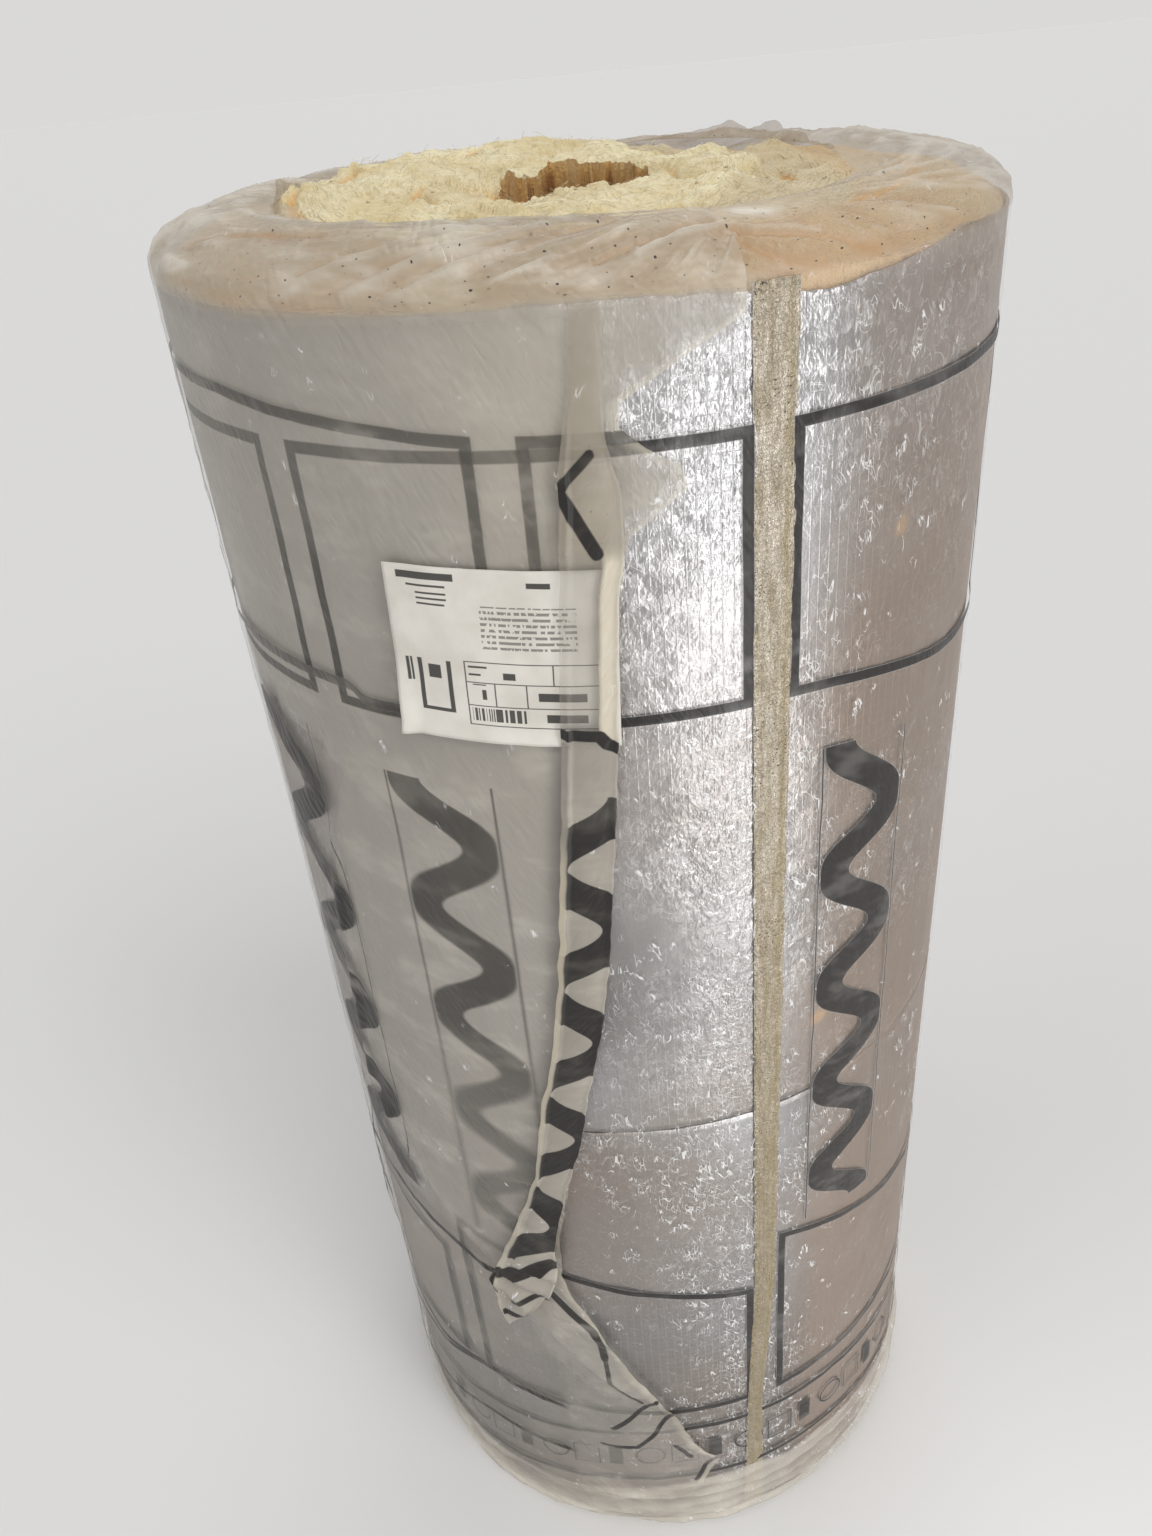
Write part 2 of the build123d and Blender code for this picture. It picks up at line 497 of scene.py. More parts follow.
    nearest = make.least(upper, lower, firstLine, secondLine, band, signs)
    halfSoft = make.times(given["Softness"], 0.5)
    ink = make.spread(nearest, make.times(halfSoft, -1.0), halfSoft, 1.0, 0.0)
    make.feed(out["Ink"], ink)
    return tree


def crumpleGroup():
    # a crumpled skin: facets in two sizes and fine upright streaks, all in metres, and how far the facets
    # lean up, for a painted light and shade on them
    tree, make, given, out = newGroup(
        "crumple",
        {
            "Place": None,
            "Facet Scale": 60.0,
            "Facets": 1.0,
            "Streak Scale": 180.0,
            "Streaks": 0.001,
            "Crease Scale": 130.0,
            "Creases": 0.004,
        },
        ["Height", "Facet Light"],
    )
    place = make.scaled(given["Place"], 1.0, 0.75, 0.0)
    large, largeLean = make.facets(place, given["Facet Scale"])
    small, smallLean = make.facets(place, make.times(given["Facet Scale"], 2.7))
    both = make.times(make.math("MULTIPLY_ADD", small, 0.8, large), given["Facets"])
    upright = make.scaled(given["Place"], 1.0, 0.06, 0.0)
    streaks = make.noise(upright, given["Streak Scale"], 1.0, 0.6, flat=True)
    place = make.scaled(given["Place"], 1.0, 0.60, 0.0)
    wormy = make.noise(place, given["Crease Scale"], 2.0, 0.6, flat=True)
    creases = make.gap(wormy, 0.5)
    both = make.math("MULTIPLY_ADD", creases, make.times(given["Creases"], given["Facets"]), both)
    make.feed(out["Height"], make.math("MULTIPLY_ADD", streaks, given["Streaks"], both))
    leaning = make.times(make.plus(largeLean, smallLean), given["Facets"])
    make.feed(out["Facet Light"], make.plus(leaning, 0.5))
    return tree


def glintGroup():
    # the fine creases of a clear film, and the short bright strokes where they catch the light in clusters
    tree, make, given, out = newGroup(
        "glints",
        {
            "Place": None,
            "Amount": 0.3,
            "Scale": 120.0,
        },
        ["Share", "Height"],
    )
    apart = make.split(given["Place"])
    slanted = make.add(
        "ShaderNodeCombineXYZ",
        {0: make.math("MULTIPLY_ADD", apart[1], 0.5, apart[0]), 1: make.times(apart[1], 0.45)},
    ).outputs[0]
    upright = make.noise(make.scaled(given["Place"], 1.0, 0.24, 0.0), 190.0, 1.0, 0.5, flat=True)
    upright = make.crest(upright, 0.026)
    folded = make.gap(make.noise(slanted, given["Scale"], 1.0, 0.5, flat=True), 0.5)
    slanting = make.spread(folded, 0.0, 0.020, 1.0, 0.0)
    clusters = make.noise(given["Place"], 60.0, 1.0, 0.7, flat=True)
    shown = make.spread(make.math("MULTIPLY_ADD", given["Amount"], 0.30, clusters), 0.72, 0.84)
    make.feed(out["Share"], make.times(make.most(upright, slanting), shown))
    make.feed(out["Height"], folded)
    return tree


printedFrames = framesGroup()
crumple = crumpleGroup()
glints = glintGroup()


# Materials

def woolMaterial(name):
    colours = {
        "pale": (0.90, 0.815, 0.56),
        "mid": (0.73, 0.605, 0.345),
        "shadeAmber": (0.80, 0.47, 0.160),
        "brown": (0.33, 0.135, 0.040),
        "orange": (0.66, 0.445, 0.245),
        "dun": (0.62, 0.515, 0.335),
    }
    material, shader, make = newMaterial(
        name, {"Roughness": 0.92, "Specular IOR Level": 0.12, "Sheen Weight": 0.15, "Sheen Roughness": 0.6}
    )
    place = make.objectPlace()
    wound = make.field("wound", "Vector")
    patches = make.noise(place, 14.0, 3.0, 0.65)
    around = make.noise(make.scaled(wound, 0.12, 0.12, 1.0), 420.0, 2.0, 0.7)
    across = make.noise(make.scaled(wound, 1.0, 1.0, 0.13), 300.0, 2.0, 0.65)
    upright = make.spread(make.plus(patches, make.field("combed")), 0.50, 0.60)
    fibre = make.blend(upright, around, across)
    grain = make.noise(place, 260.0, 2.0, 0.7)
    colour = make.mix(make.spread(patches, 0.36, 0.64), colours["pale"], colours["mid"])
    colour = make.mix(make.spread(fibre, 0.45, 0.72, 0.0, 0.75), colour, colours["mid"])
    colour = make.mix(make.field("aged"), colour, colours["orange"])
    # a darker, browner tint on the sunk outer turn
    colour = make.mix(make.field("sunkTurnTint"), colour, colours["dun"])
    # painted shade: amber in the hollows, the grooves between the turns and down the eye, brown deeper down
    # the eye
    colour = make.mix(make.spread(make.field("paintedShade"), 0.20, 0.62, 0.0, 0.95), colour, colours["shadeAmber"])
    colour = make.mix(make.spread(make.field("paintedShade"), 0.55, 1.1), colour, colours["brown"])
    make.feed(shader.inputs["Base Color"], colour)
    make.feed(shader.inputs["Normal"], make.bump(make.math("MULTIPLY_ADD", grain, 0.6, fibre), 0.0040, 0.9))
    return material


def foilMaterial(name):
    colours = {
        "bright": (0.530, 0.522, 0.528),
        "dull": (0.215, 0.202, 0.190),
        "warm": (0.350, 0.268, 0.210),
        "stain": (0.60, 0.40, 0.22),
        "shade": (0.20, 0.195, 0.19),
        "shine": (0.80, 0.80, 0.81),
        "fold": (0.93, 0.93, 0.93),
        "thread": (0.86, 0.86, 0.86),
    }
    material, shader, make = newMaterial(name, {"Metallic": 1.0})
    # the threads that reinforce the foil, as faint upright and level lines
    threads = make.split(make.unrolledPlace())
    net = make.most(make.lines(threads[0], 256.0, 0.10), make.lines(threads[1], 228.0, 0.07, 0.7))
    grid = make.times(net, make.field("threads"))
    creased = make.group(crumple, {
        "Place": make.unrolledMetres(),
        "Facet Scale": 130.0,
        "Facets": make.field("crumpled"),
        "Streak Scale": 330.0,
        "Streaks": 0.00022,
        "Crease Scale": 170.0,
        "Creases": 0.0060,
    })
    # wear at random, with painted shade lower down and lower on the right, and a painted highlight beside the
    # tape
    colour = make.mix(make.field("shadeSheenAndWear"), colours["bright"], colours["dull"])
    # a warm tone at random and lower down, with a painted warm reflection along the right side
    colour = make.mix(make.field("warmToneAndReflection"), colour, colours["warm"])
    # painted shade on the facets that lean down, painted highlight on those that lean up
    colour = make.mix(make.spread(creased["Facet Light"], 0.1, 0.8, 0.18, 0.0), colour, colours["shade"])
    colour = make.mix(make.spread(creased["Facet Light"], 0.6, 1.1, 0.0, 0.30), colour, colours["shine"])
    # painted glints: thin bright lines along the folds, where they would catch the light
    folded = make.noise(make.scaled(make.unrolledMetres(), 1.0, 0.8, 0.0), 75.0, 2.0, 0.6, 0.6, flat=True)
    lines = make.times(make.crest(folded, 0.014), make.field("crumpled"))
    colour = make.mix(make.times(lines, 0.75), colour, colours["fold"])
    colour = make.mix(make.times(grid, 0.18), colour, colours["thread"])
    colour = make.mix(make.field("stained"), colour, colours["stain"])
    make.feed(shader.inputs["Base Color"], colour)
    make.feed(shader.inputs["Roughness"], make.spread(make.field("shadeSheenAndWear"), 0.0, 1.0, 0.38, 0.50))
    height = make.math("MULTIPLY_ADD", grid, 0.0009, creased["Height"])
    make.feed(shader.inputs["Normal"], make.bump(height, 0.23))
    return material


# Where the print lies on each film: the middle of its gap, the upper round line's height and highest
# place, and 1 or 0 for signs or none
prints = {
    "sleeve": {"Gap Centre": 17.4, "Line Height": 0.183, "Line Middle": 15.0, "Signs": 1.0},
    "lap": {"Gap Centre": -12.9, "Line Height": 0.215, "Line Middle": -20.0, "Signs": 0.0},
}


def filmMaterial(name, base, printOn, marked=False, wrinkled=1.0):
    colours = {
        "milk": (0.395, 0.325, 0.232),
        "cream": (0.62, 0.545, 0.41),
        "haze": (0.42, 0.39, 0.345),
        "brown": (0.46, 0.285, 0.150),
        "white": (0.68, 0.635, 0.550),
        "glint": (0.93, 0.93, 0.92),
        "ink": (0.017, 0.014, 0.012),
    }
    material, shader, make = newMaterial(name, {"Specular IOR Level": 0.42})
    place = make.unrolledMetres()
    printed = make.group(printedFrames, {
        "Vector": make.unrolledPlace(),
        **prints[printOn],
        "Softness": make.spread(make.field("veiled"), 0.0, 1.0, 0.0010, 0.013),
    })
    inked = make.times(printed["Ink"], make.field("kept"))
    if marked:
        inked = make.most(inked, make.spread(make.field("marked"), -0.0006, 0.0006))
    creased = make.group(glints, {
        "Place": place,
        "Amount": make.field("glinting"),
        "Scale": 120.0 / wrinkled ** 0.5,
    })
    glint = creased["Share"]
    # painted highlights of the film's soft wrinkles, as whitish wisps; where they cross the print they
    # lighten it
    wrinkleSheen = make.noise(make.scaled(place, 0.45, 1.0, 0.0), 26.0, 3.0, 0.7, flat=True)
    wrinkleHighlight = make.spread(wrinkleSheen, 0.48, 0.74, 0.0, 0.34 * wrinkled)
    inked = make.times(inked, make.math("MULTIPLY_ADD", wrinkleHighlight, -0.30, 1.0))
    colour = base
    # the film's tints, with the painted highlight and shade of the folds over the end
    tones = {"milky": "milk", "creamy": "cream", "hazed": "haze", "shadeAndWarmBrown": "brown", "highlightAndWhite": "white"}
    for field, tone in tones.items():
        colour = make.mix(make.field(field), colour, colours[tone])
    colour = make.mix(wrinkleHighlight, colour, colours["white"])
    colour = make.mix(glint, colour, colours["glint"])
    # a few dark grains lie on the film over the end
    grains = make.noise(place, 330.0, 0.0, 0.5, flat=True)
    inked = make.most(inked, make.times(make.spread(grains, 0.862, 0.87), make.field("milky")))
    make.feed(shader.inputs["Base Color"], make.mix(inked, colour, colours["ink"]))
    solid = make.most(make.field("veil"), make.times(inked, 0.96), make.times(glint, 0.7))
    make.feed(shader.inputs["Alpha"], solid)
    make.feed(shader.inputs["Roughness"], make.spread(inked, 0.0, 1.0, 0.30, 0.42))
    make.feed(shader.inputs["Normal"], make.bump(creased["Height"], 0.0012 * wrinkled))
    return material


def tapeMaterial():
    colours = {
        "pale": (0.70, 0.625, 0.515),
        "dark": (0.47, 0.400, 0.290),
        "low": (0.35, 0.280, 0.160),
        "edge": (0.40, 0.32, 0.175),
        "speck": (0.09, 0.075, 0.05),
    }
    material, shader, make = newMaterial("agedTape", {"Metallic": 0.45, "Specular IOR Level": 0.5})
    apart = make.split(make.unrolledPlace())
    place = make.scaled(make.unrolledPlace(), tape["mapWidth"], wallTop, 0.0)
    streaks = make.noise(make.scaled(place, 1.0, 0.12, 0.0), 190.0, 2.0, 0.7, flat=True)
    colour = make.mix(make.spread(streaks, 0.30, 0.70), colours["pale"], colours["dark"])
    colour = make.mix(make.spread(apart[1], 0.30, 0.95, 0.66, 0.0), colour, colours["low"])
    # the glue has aged along the right edge
    offEdge = make.gap(apart[0], 0.80)
    colour = make.mix(make.spread(offEdge, 0.04, 0.14, 0.45, 0.0), colour, colours["edge"])
    grains = make.noise(place, 640.0, 1.0, 0.5, flat=True)
    crowded = make.spread(make.noise(place, 16.0, 2.0, flat=True), 0.45, 0.70, 0.80, 0.68)
    speck = make.math("GREATER_THAN", grains, crowded)
    make.feed(shader.inputs["Base Color"], make.mix(speck, colour, colours["speck"]))
    make.feed(shader.inputs["Roughness"], make.spread(streaks, 0.3, 0.7, 0.28, 0.46))
    # its net of threads
    net = make.most(make.lines(apart[0], 5.0, 0.09), make.lines(apart[1], 270.0, 0.09))
    creased = make.group(crumple, {
        "Place": place,
        "Facet Scale": 290.0,
        "Facets": 1.2,
        "Streak Scale": 300.0,
        "Streaks": 0.0003,
        "Crease Scale": 300.0,
        "Creases": 0.005,
    })
    height = make.math("MULTIPLY_ADD", net, 0.0004, creased["Height"])
    make.feed(shader.inputs["Normal"], make.bump(height, 0.75))
    return material


def plainMaterial(name, colour, rough):
    material, shader, make = newMaterial(name, {"Roughness": rough, "Specular IOR Level": 0.3})
    shade = make.noise(make.objectPlace(), 90.0, 2.0)
    make.feed(shader.inputs["Base Color"], make.mix(shade, tuple(0.7 * value for value in colour), colour))
    return material


def paperMaterial():
    colours = {"paper": (0.735, 0.70, 0.635), "aged": (0.63, 0.595, 0.53), "ink": (0.02, 0.018, 0.017)}
    material, shader, make = newMaterial("labelPaper", {"Specular IOR Level": 0.35})
    apart = make.split(make.unrolledPlace())
    place = make.objectPlace()
    across, up = apart[0], apart[1]

    def block(left, right, foot, top):
        # how far outside that rectangle a place lies; less than 0 inside it
        wide = make.minus(make.gap(across, (left + right) / 2), (right - left) / 2)
        tall = make.minus(make.gap(up, (foot + top) / 2), (top - foot) / 2)
        return make.math("MAXIMUM", wide, tall)

    def line(shape, stroke):
        return make.outside(shape, stroke / 2)

    thin, tagStroke = 0.006, 0.022
    # ruled cells in the lower right, on a label that is 1 wide and 1 high
    cells = [
        (0.33, 0.95, 0.10, 0.48), (0.33, 0.95, 0.10, 0.36), (0.33, 0.72, 0.36, 0.48),
        (0.33, 0.95, 0.22, 0.36), (0.33, 0.46, 0.22, 0.36), (0.46, 0.60, 0.22, 0.36),
    ]
    drawn = make.least(*[line(block(*cell), thin) for cell in cells])
    # a plain tag outline at the left, open at its top
    tag = make.most(line(block(0.115, 0.255, 0.17, 0.62), tagStroke), make.minus(up, 0.47))
    drawn = make.least(drawn, tag)
    solid = [
        (0.06, 0.32, 0.925, 0.965), (0.10, 0.28, 0.885, 0.897), (0.14, 0.28, 0.845, 0.856),
        (0.14, 0.28, 0.815, 0.826), (0.14, 0.27, 0.785, 0.796), (0.63, 0.73, 0.905, 0.935),
        (0.05, 0.065, 0.33, 0.47), (0.07, 0.08, 0.33, 0.47), (0.50, 0.555, 0.385, 0.425),
        (0.40, 0.42, 0.26, 0.32), (0.65, 0.86, 0.265, 0.315), (0.68, 0.86, 0.135, 0.185),
        (0.155, 0.215, 0.36, 0.44), (0.345, 0.43, 0.445, 0.457), (0.345, 0.40, 0.40, 0.412),
        (0.36, 0.42, 0.345, 0.352),
    ]
    drawn = make.least(drawn, *[block(*part) for part in solid])
    ink = make.spread(drawn, -0.002, 0.002, 0.92, 0.0)
    # greeked lines of print and a block of plain stripes
    inPrint = make.spread(block(0.42, 0.83, 0.56, 0.80), -0.001, 0.001, 1.0, 0.0)
    rows = make.math("LESS_THAN", make.math("PINGPONG", make.times(up, 30.0), 0.5), 0.24)
    words = make.noise(make.scaled(make.unrolledPlace(), 60.0, 14.0, 1.0), 1.0, 1.0)
    words = make.math("GREATER_THAN", words, 0.44)
    ink = make.most(ink, make.times(make.times(inPrint, rows), make.times(words, 0.65)))
    inStripes = make.spread(block(0.345, 0.60, 0.125, 0.205), -0.001, 0.001, 1.0, 0.0)
    stripes = make.noise(make.scaled(make.unrolledPlace(), 95.0, 0.01, 1.0), 1.0, 0.0)
    stripes = make.math("GREATER_THAN", stripes, 0.49)
    ink = make.most(ink, make.times(inStripes, make.times(stripes, 0.9)))
    aged = make.spread(make.noise(place, 30.0, 3.0), 0.35, 0.7)
    paper = make.mix(aged, colours["paper"], colours["aged"])
    make.feed(shader.inputs["Base Color"], make.mix(ink, paper, colours["ink"]))
    make.feed(shader.inputs["Roughness"], make.spread(ink, 0.0, 1.0, 0.55, 0.38))
    make.feed(shader.inputs["Normal"], make.bump(make.noise(place, 140.0, 3.0), 0.0006, 0.6))
    return material


# Wool

wool = {
    "inset": 0.0035,  # how far its side lies inside the solid's
    "crownInset": 0.0015,  # and its top below the solid's
    "fibreRound": 0.17,  # the radius on which the fibres' finish is laid out
    "columns": 504,
    "topRows": 118,
    "shoulderRows": 16,
    "boreRows": 34,
    "lowerColumns": 240,
    "lowerRows": (6, 16, 24, 34),  # of its foot, top, bore and underside
    "footRise": 0.009,  # how high the lower roll's foot rounds up to the wall
    "lump": 0.0046,
    "layerStep": 0.0056,
    "flake": 0.0020,
    "rib": 0.0010,
    "stratum": 0.0018,
    "grit": 0.0004,
    "shelfDepth": 0.013,  # of the shelf at the left of the eye
    "swell": 0.0080,  # how far it bulges out of the film's mouth at the back
    "grooveDepth": 0.009,
    "sunk": 0.009,  # how far the outer turn lies lower at the right
    # where that begins: radius, degrees round from the right side
    "sunkFrom": [
        (0.170, -80), (0.165, -72), (0.152, -58), (0.140, -40), (0.115, -18), (0.122, -5), (0.138, 20),
        (0.150, 60), (0.160, 100),
    ],
    "comb": 0.0045,  # how deep the slits in the eye's wall are
    "lowerComb": 0.0018,
}


def turnOf(points):
    # degrees round from the right side, 0 to 360
    return np.degrees(np.arctan2(points[..., 1], points[..., 0])) % 360


def spiralGroove(points, distance):
    # 0 away from the line between two turns, 1 in it
    turn = (turnOf(points) - roll["spiralTurn"]) % 360
    along = (distance - roll["spiralStart"]) / roll["matThickness"] - turn / 360
    off = np.abs(along - np.round(along)) * roll["matThickness"]
    inside = ease(roll["spiralStart"] - 0.03, roll["spiralStart"] + 0.01, distance)
    return np.exp(-(off / 0.0045) ** 2) * inside


def tornWool(flat, angle, distance):
    # the height of torn, felted layers, and how deep in painted shade each point lies
    sway = places(latticeNoise(flat, 0.05, 3), latticeNoise(flat, 0.05, 4), 0)
    bent = flat + 0.012 * sway
    # the layers run round with the winding, the ribs across it
    turned = np.radians(angle)

    def polar(around, away):
        return places(around * np.cos(turned), around * np.sin(turned), away * distance)

    lumps = layeredNoise(bent, 0.070, 11, 3, 0.45)
    steps = lumps * 2.2 + 0.9 * latticeNoise(polar(0.17, 3.2) + 0.4 * bent, 0.060, 21)
    layer = np.floor(steps) + ease(0.36, 0.52, steps - np.floor(steps))
    torn = ease(0.1, 0.5, layeredNoise(bent, 0.045, 38, 2))
    flakes = torn * (ridges(bent, 0.013, 31, 1.2) + 0.5 * ridges(bent, 0.007, 32, 1.1))
    ribs = ridges(polar(0.17, 0.22), 0.0085, 33, 1.0) * ease(-0.1, 0.4, latticeNoise(flat, 0.05, 34))
    strata = ridges(polar(0.045, 1.0) + 0.25 * bent, 0.0085, 35, 0.8)
    strata = strata * ease(-0.6, 0.1, latticeNoise(flat, 0.07, 36))
    grit = layeredNoise(flat, 0.0042, 41, 2)
    height = wool["lump"] * lumps + wool["layerStep"] * layer * 0.5 + wool["flake"] * flakes
    height += wool["rib"] * ribs + wool["stratum"] * strata + wool["grit"] * grit
    # painted shade: darker in the hollows of the lumps, flakes, ribs and strata, and at the foot of each step
    shade = 0.22 - 0.24 * lumps - 0.12 * flakes - 0.06 * ribs - 0.12 * strata
    return height, np.clip(shade + 0.25 * near(steps - np.floor(steps), 0.34, 0.07), 0, 1)


def woundPlace(points, radii, heights):
    # the same place measured round the winding and along the surface, for fibres that follow it
    steps = np.hypot(np.diff(radii, axis=0), np.diff(heights, axis=0))
    run = np.cumsum(np.vstack([0 * radii[:1], steps]), axis=0)
    angle = np.arctan2(points[..., 0], -points[..., 1])
    return places(wool["fibreRound"] * np.cos(angle), wool["fibreRound"] * np.sin(angle), run)


def upperWoolPiece(material):
    angle = np.arange(wool["columns"]) * 360 / wool["columns"] + 90
    whole = np.ones(len(angle))
    unit = wallPoint(angle, 1.0, 0.0)
    eyeRim = roll["eyeRadius"] - 0.004 + 0.006 * layeredNoise(unit, 0.9, 51, 2)
    eyeRim = eyeRim + 0.0016 * latticeNoise(unit, 0.10, 53)
    # outside, upwards, in to the rim of the eye, down it, and back outwards under the roll
    sideRadius = woolRadius - wool["inset"]
    crown = woolTop - wool["crownInset"]
    radii, heights = [], []
    for z in (woolLow.z, wallTop - 0.04, wallTop - 0.016, wallTop - 0.004):
        radii.append(sideRadius * whole)
        heights.append(z * whole)
    sideRows = len(radii)
    for k in range(1, wool["shoulderRows"] + 1):
        part = math.pi / 2 * k / wool["shoulderRows"]
        radii.append((shoulderStart + (sideRadius - shoulderStart) * math.cos(part)) * whole)
        heights.append((wallTop + (crown - wallTop) * math.sin(part)) * whole)
    for k in range(1, wool["topRows"] + 1):
        radii.append(shoulderStart + (eyeRim - shoulderStart) * k / wool["topRows"])
        heights.append(crown * whole)
    rimRow = len(radii)
    for k in range(1, wool["boreRows"] + 1):
        part = (k / wool["boreRows"]) ** 2.2
        radii.append(eyeRim + (roll["eyeRadius"] - eyeRim) * ease(0, 0.05, part))
        heights.append((crown - part * (crown - woolLow.z)) * whole)
    radii, heights = np.array(radii), np.array(heights)
    points = wallPoint(angle[None, :], radii, heights)
    flat = points * np.array([1, 1, 0])
    torn, shade = tornWool(flat, angle[None, :], radii)
    groove = spiralGroove(points, radii)
    turn = turnOf(points)
    # the outer turn at the right has sunk, and a shelf lies at the left of the eye
    rightTurn = (turn + 180) % 360 - 180
    sunkFrom = along(wool["sunkFrom"], rightTurn)
    backRight = ease(-82, -68, rightTurn) * ease(100, 75, rightTurn)
    backRight = backRight * ease(-0.003, 0.005, radii - sunkFrom + 0.008 * layeredNoise(flat, 0.03, 61, 2))
    shelf = ease(0.092, 0.078, radii + 0.006 * latticeNoise(flat, 0.02, 62))
    shelf = ease(150, 165, turn) * ease(212, 195, turn) * shelf
    covered = ease(-0.010, 0.004, radii - mouthRadius(angle)[None, :])
    top = np.zeros_like(radii)
    top[sideRows:rimRow] = ease(wallTop - 0.002, wallTop + 0.012, heights[sideRows:rimRow])
    swell = ease(55, 85, turn) * ease(222, 196, turn) * ease(0.09, 0.16, radii)
    eyeSwell = ease(0.12, 0.07, radii) * ease(20, 60, turn) * ease(190, 150, turn)
    lift = torn - wool["grooveDepth"] * groove - wool["sunk"] * backRight
    lift = lift - wool["shelfDepth"] * shelf - 0.0025
    lift += wool["swell"] * (swell * (1 - covered) + 0.6 * eyeSwell)
    lift = lift * (1 - 0.65 * covered) - 0.0045 * covered
    points[..., 2] += lift * top
    fading = np.exp(-np.arange(radii.shape[0] - rimRow) / 2.5)[:, None]
    points[rimRow:, :, 2] += fading * lift[rimRow - 1][None, :]
    # the slits and uneven slices of the eye's wall
    combed = ridges(stretched(unit * roll["eyeRadius"], 1.0, 1.0), 0.0062, 71, 0.8)[None, :]
    combed = combed * (0.6 + 0.4 * latticeNoise(stretched(points, 1.0, 0.3), 0.03, 72))
    rows = np.arange(len(radii))[:, None]
    inBore = ease(0.5, 1.5, rows - rimRow + 3.0) * (rows < len(radii) - 1)
    points[..., :2] *= (1 + inBore * (wool["comb"] * (0.5 - combed)) / np.maximum(radii, 0.03))[..., None]
    boreDepth = ease(-0.006, 0.060, woolTop - heights[rimRow:])
    # painted shade: darker in the low places, the groove between the turns, the sunk outer turn and the
    # shelf; in the eye, darker further down and in its slits
    paintedShade = (0.5 * shade + 0.5 * groove) * (top > 0) + 0.08 * backRight * top + 0.34 * shelf * top
    streaked = 0.30 * layeredNoise(stretched(points[rimRow:], 1.0, 0.35), 0.03, 74, 2)
    streaked = 0.65 * (0.5 - np.clip(combed[rimRow:], 0, 1)) + streaked
    paintedShade[rimRow:] = 0.44 + 0.60 * boreDepth + streaked * ease(0.0, 0.12, boreDepth)
    aged = 0.50 * covered + 0.10 * backRight * (1 - covered)
    aged += 0.15 * np.clip(layeredNoise(flat, 0.06, 95), 0, 1)
    aged += 0.30 * covered * near(rightTurn, -58, 22)
    aged += 0.25 * covered * layeredNoise(points, 0.035, 96)
    # a darker, browner tint on the sunk outer turn
    sunkTurnTint = backRight * (1 - covered) * (0.75 + 0.35 * layeredNoise(points, 0.03, 97, 2))
    fields = {
        "paintedShade": np.clip(paintedShade, 0, 1),
        "aged": np.clip(aged, 0, 1),
        "sunkTurnTint": np.clip(sunkTurnTint, 0, 1),
        "bare": top * (1 - covered),
        "combed": np.where(rows > rimRow - 3, 0.5, 0.0) + 0 * paintedShade,
        "wound": woundPlace(points, radii, heights),
    }
    mesh = gridMesh("upperWool", points, roundClosed=True, endsClosed=True, fields=fields)
    return addPiece(mesh, material, "mineral_wool", "upper_wool_roll")


def lowerWoolPiece(material):
    low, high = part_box("lower_wool_roll")
    rounds, sideRadius = wool["lowerColumns"], woolRadius - wool["inset"]
    angle = np.arange(rounds) * 360 / rounds + 90
    eye = np.full(rounds, roll["eyeRadius"])
    footRows, topRows, boreRows, underRows = wool["lowerRows"]
    radii, heights = [], []
    for part in np.linspace(0, math.pi / 2, footRows):  # the rounded foot, from under to the side
        radii.append(eye * 0 + sideRadius - roll["footReach"] * (1 - math.sin(part)))
        heights.append(low.z + wool["footRise"] * (1 - math.cos(part)))
    radii += [eye * 0 + sideRadius, eye * 0 + sideRadius - 0.004]
    heights += [high.z - 0.006, high.z]
    for part in np.linspace(0.1, 1, topRows):
        radii.append(sideRadius - 0.004 + (eye - sideRadius + 0.004) * part)
        heights.append(high.z)
    for part in np.linspace(0.04, 1, boreRows):
        radii.append(eye)
        heights.append(high.z + (low.z - high.z) * part)
    for part in np.linspace(0.05, 0.98, underRows):
        radii.append(eye + (sideRadius - roll["footReach"] - eye) * part)
        heights.append(low.z)
    radii, heights = np.array(radii), np.array(heights)[:, None] * np.ones(rounds)
    points = wallPoint(angle[None, :], radii, heights)
    groove = spiralGroove(points, radii)
    under = (heights <= low.z + 1e-6) & (radii > roll["eyeRadius"] + 0.002)
    rough = 0.010 * groove + 0.003 * np.clip(layeredNoise(points, 0.02, 5), 0, 1)
    points[..., 2] += np.where(under, rough, 0)
    inBore = np.abs(radii - roll["eyeRadius"]) < 1e-6
    comb = wool["lowerComb"] * latticeNoise(stretched(points, 1.0, 0.1), 0.006, 73)
    points[..., :2] *= (1 + inBore * comb / roll["eyeRadius"])[..., None]
    # painted shade in the eye and in the groove between the turns
    paintedShade = np.where(inBore, 0.75, 0.15 + 0.6 * groove)
    fields = {
        "paintedShade": paintedShade,
        "aged": 0.3 + 0 * paintedShade,
        "sunkTurnTint": 0 * paintedShade,
        "combed": 0.5 * inBore,
        "wound": woundPlace(points, radii, heights),
    }
    mesh = gridMesh("lowerWool", points, roundClosed=True, endsClosed=True, fields=fields)
    return addPiece(mesh, material, "mineral_wool", "lower_wool_roll")


# Loose fibres and crumbs on the wool

scattered = {
    # name: pieces on each square metre, length, thickness, how far they stand up, seed
    "looseFibres": (15000.0, 0.0085, 0.00012, 0.16, 4),
    "woolCrumbs": (1800.0, 0.0032, 0.00060, 0.15, 9),
}


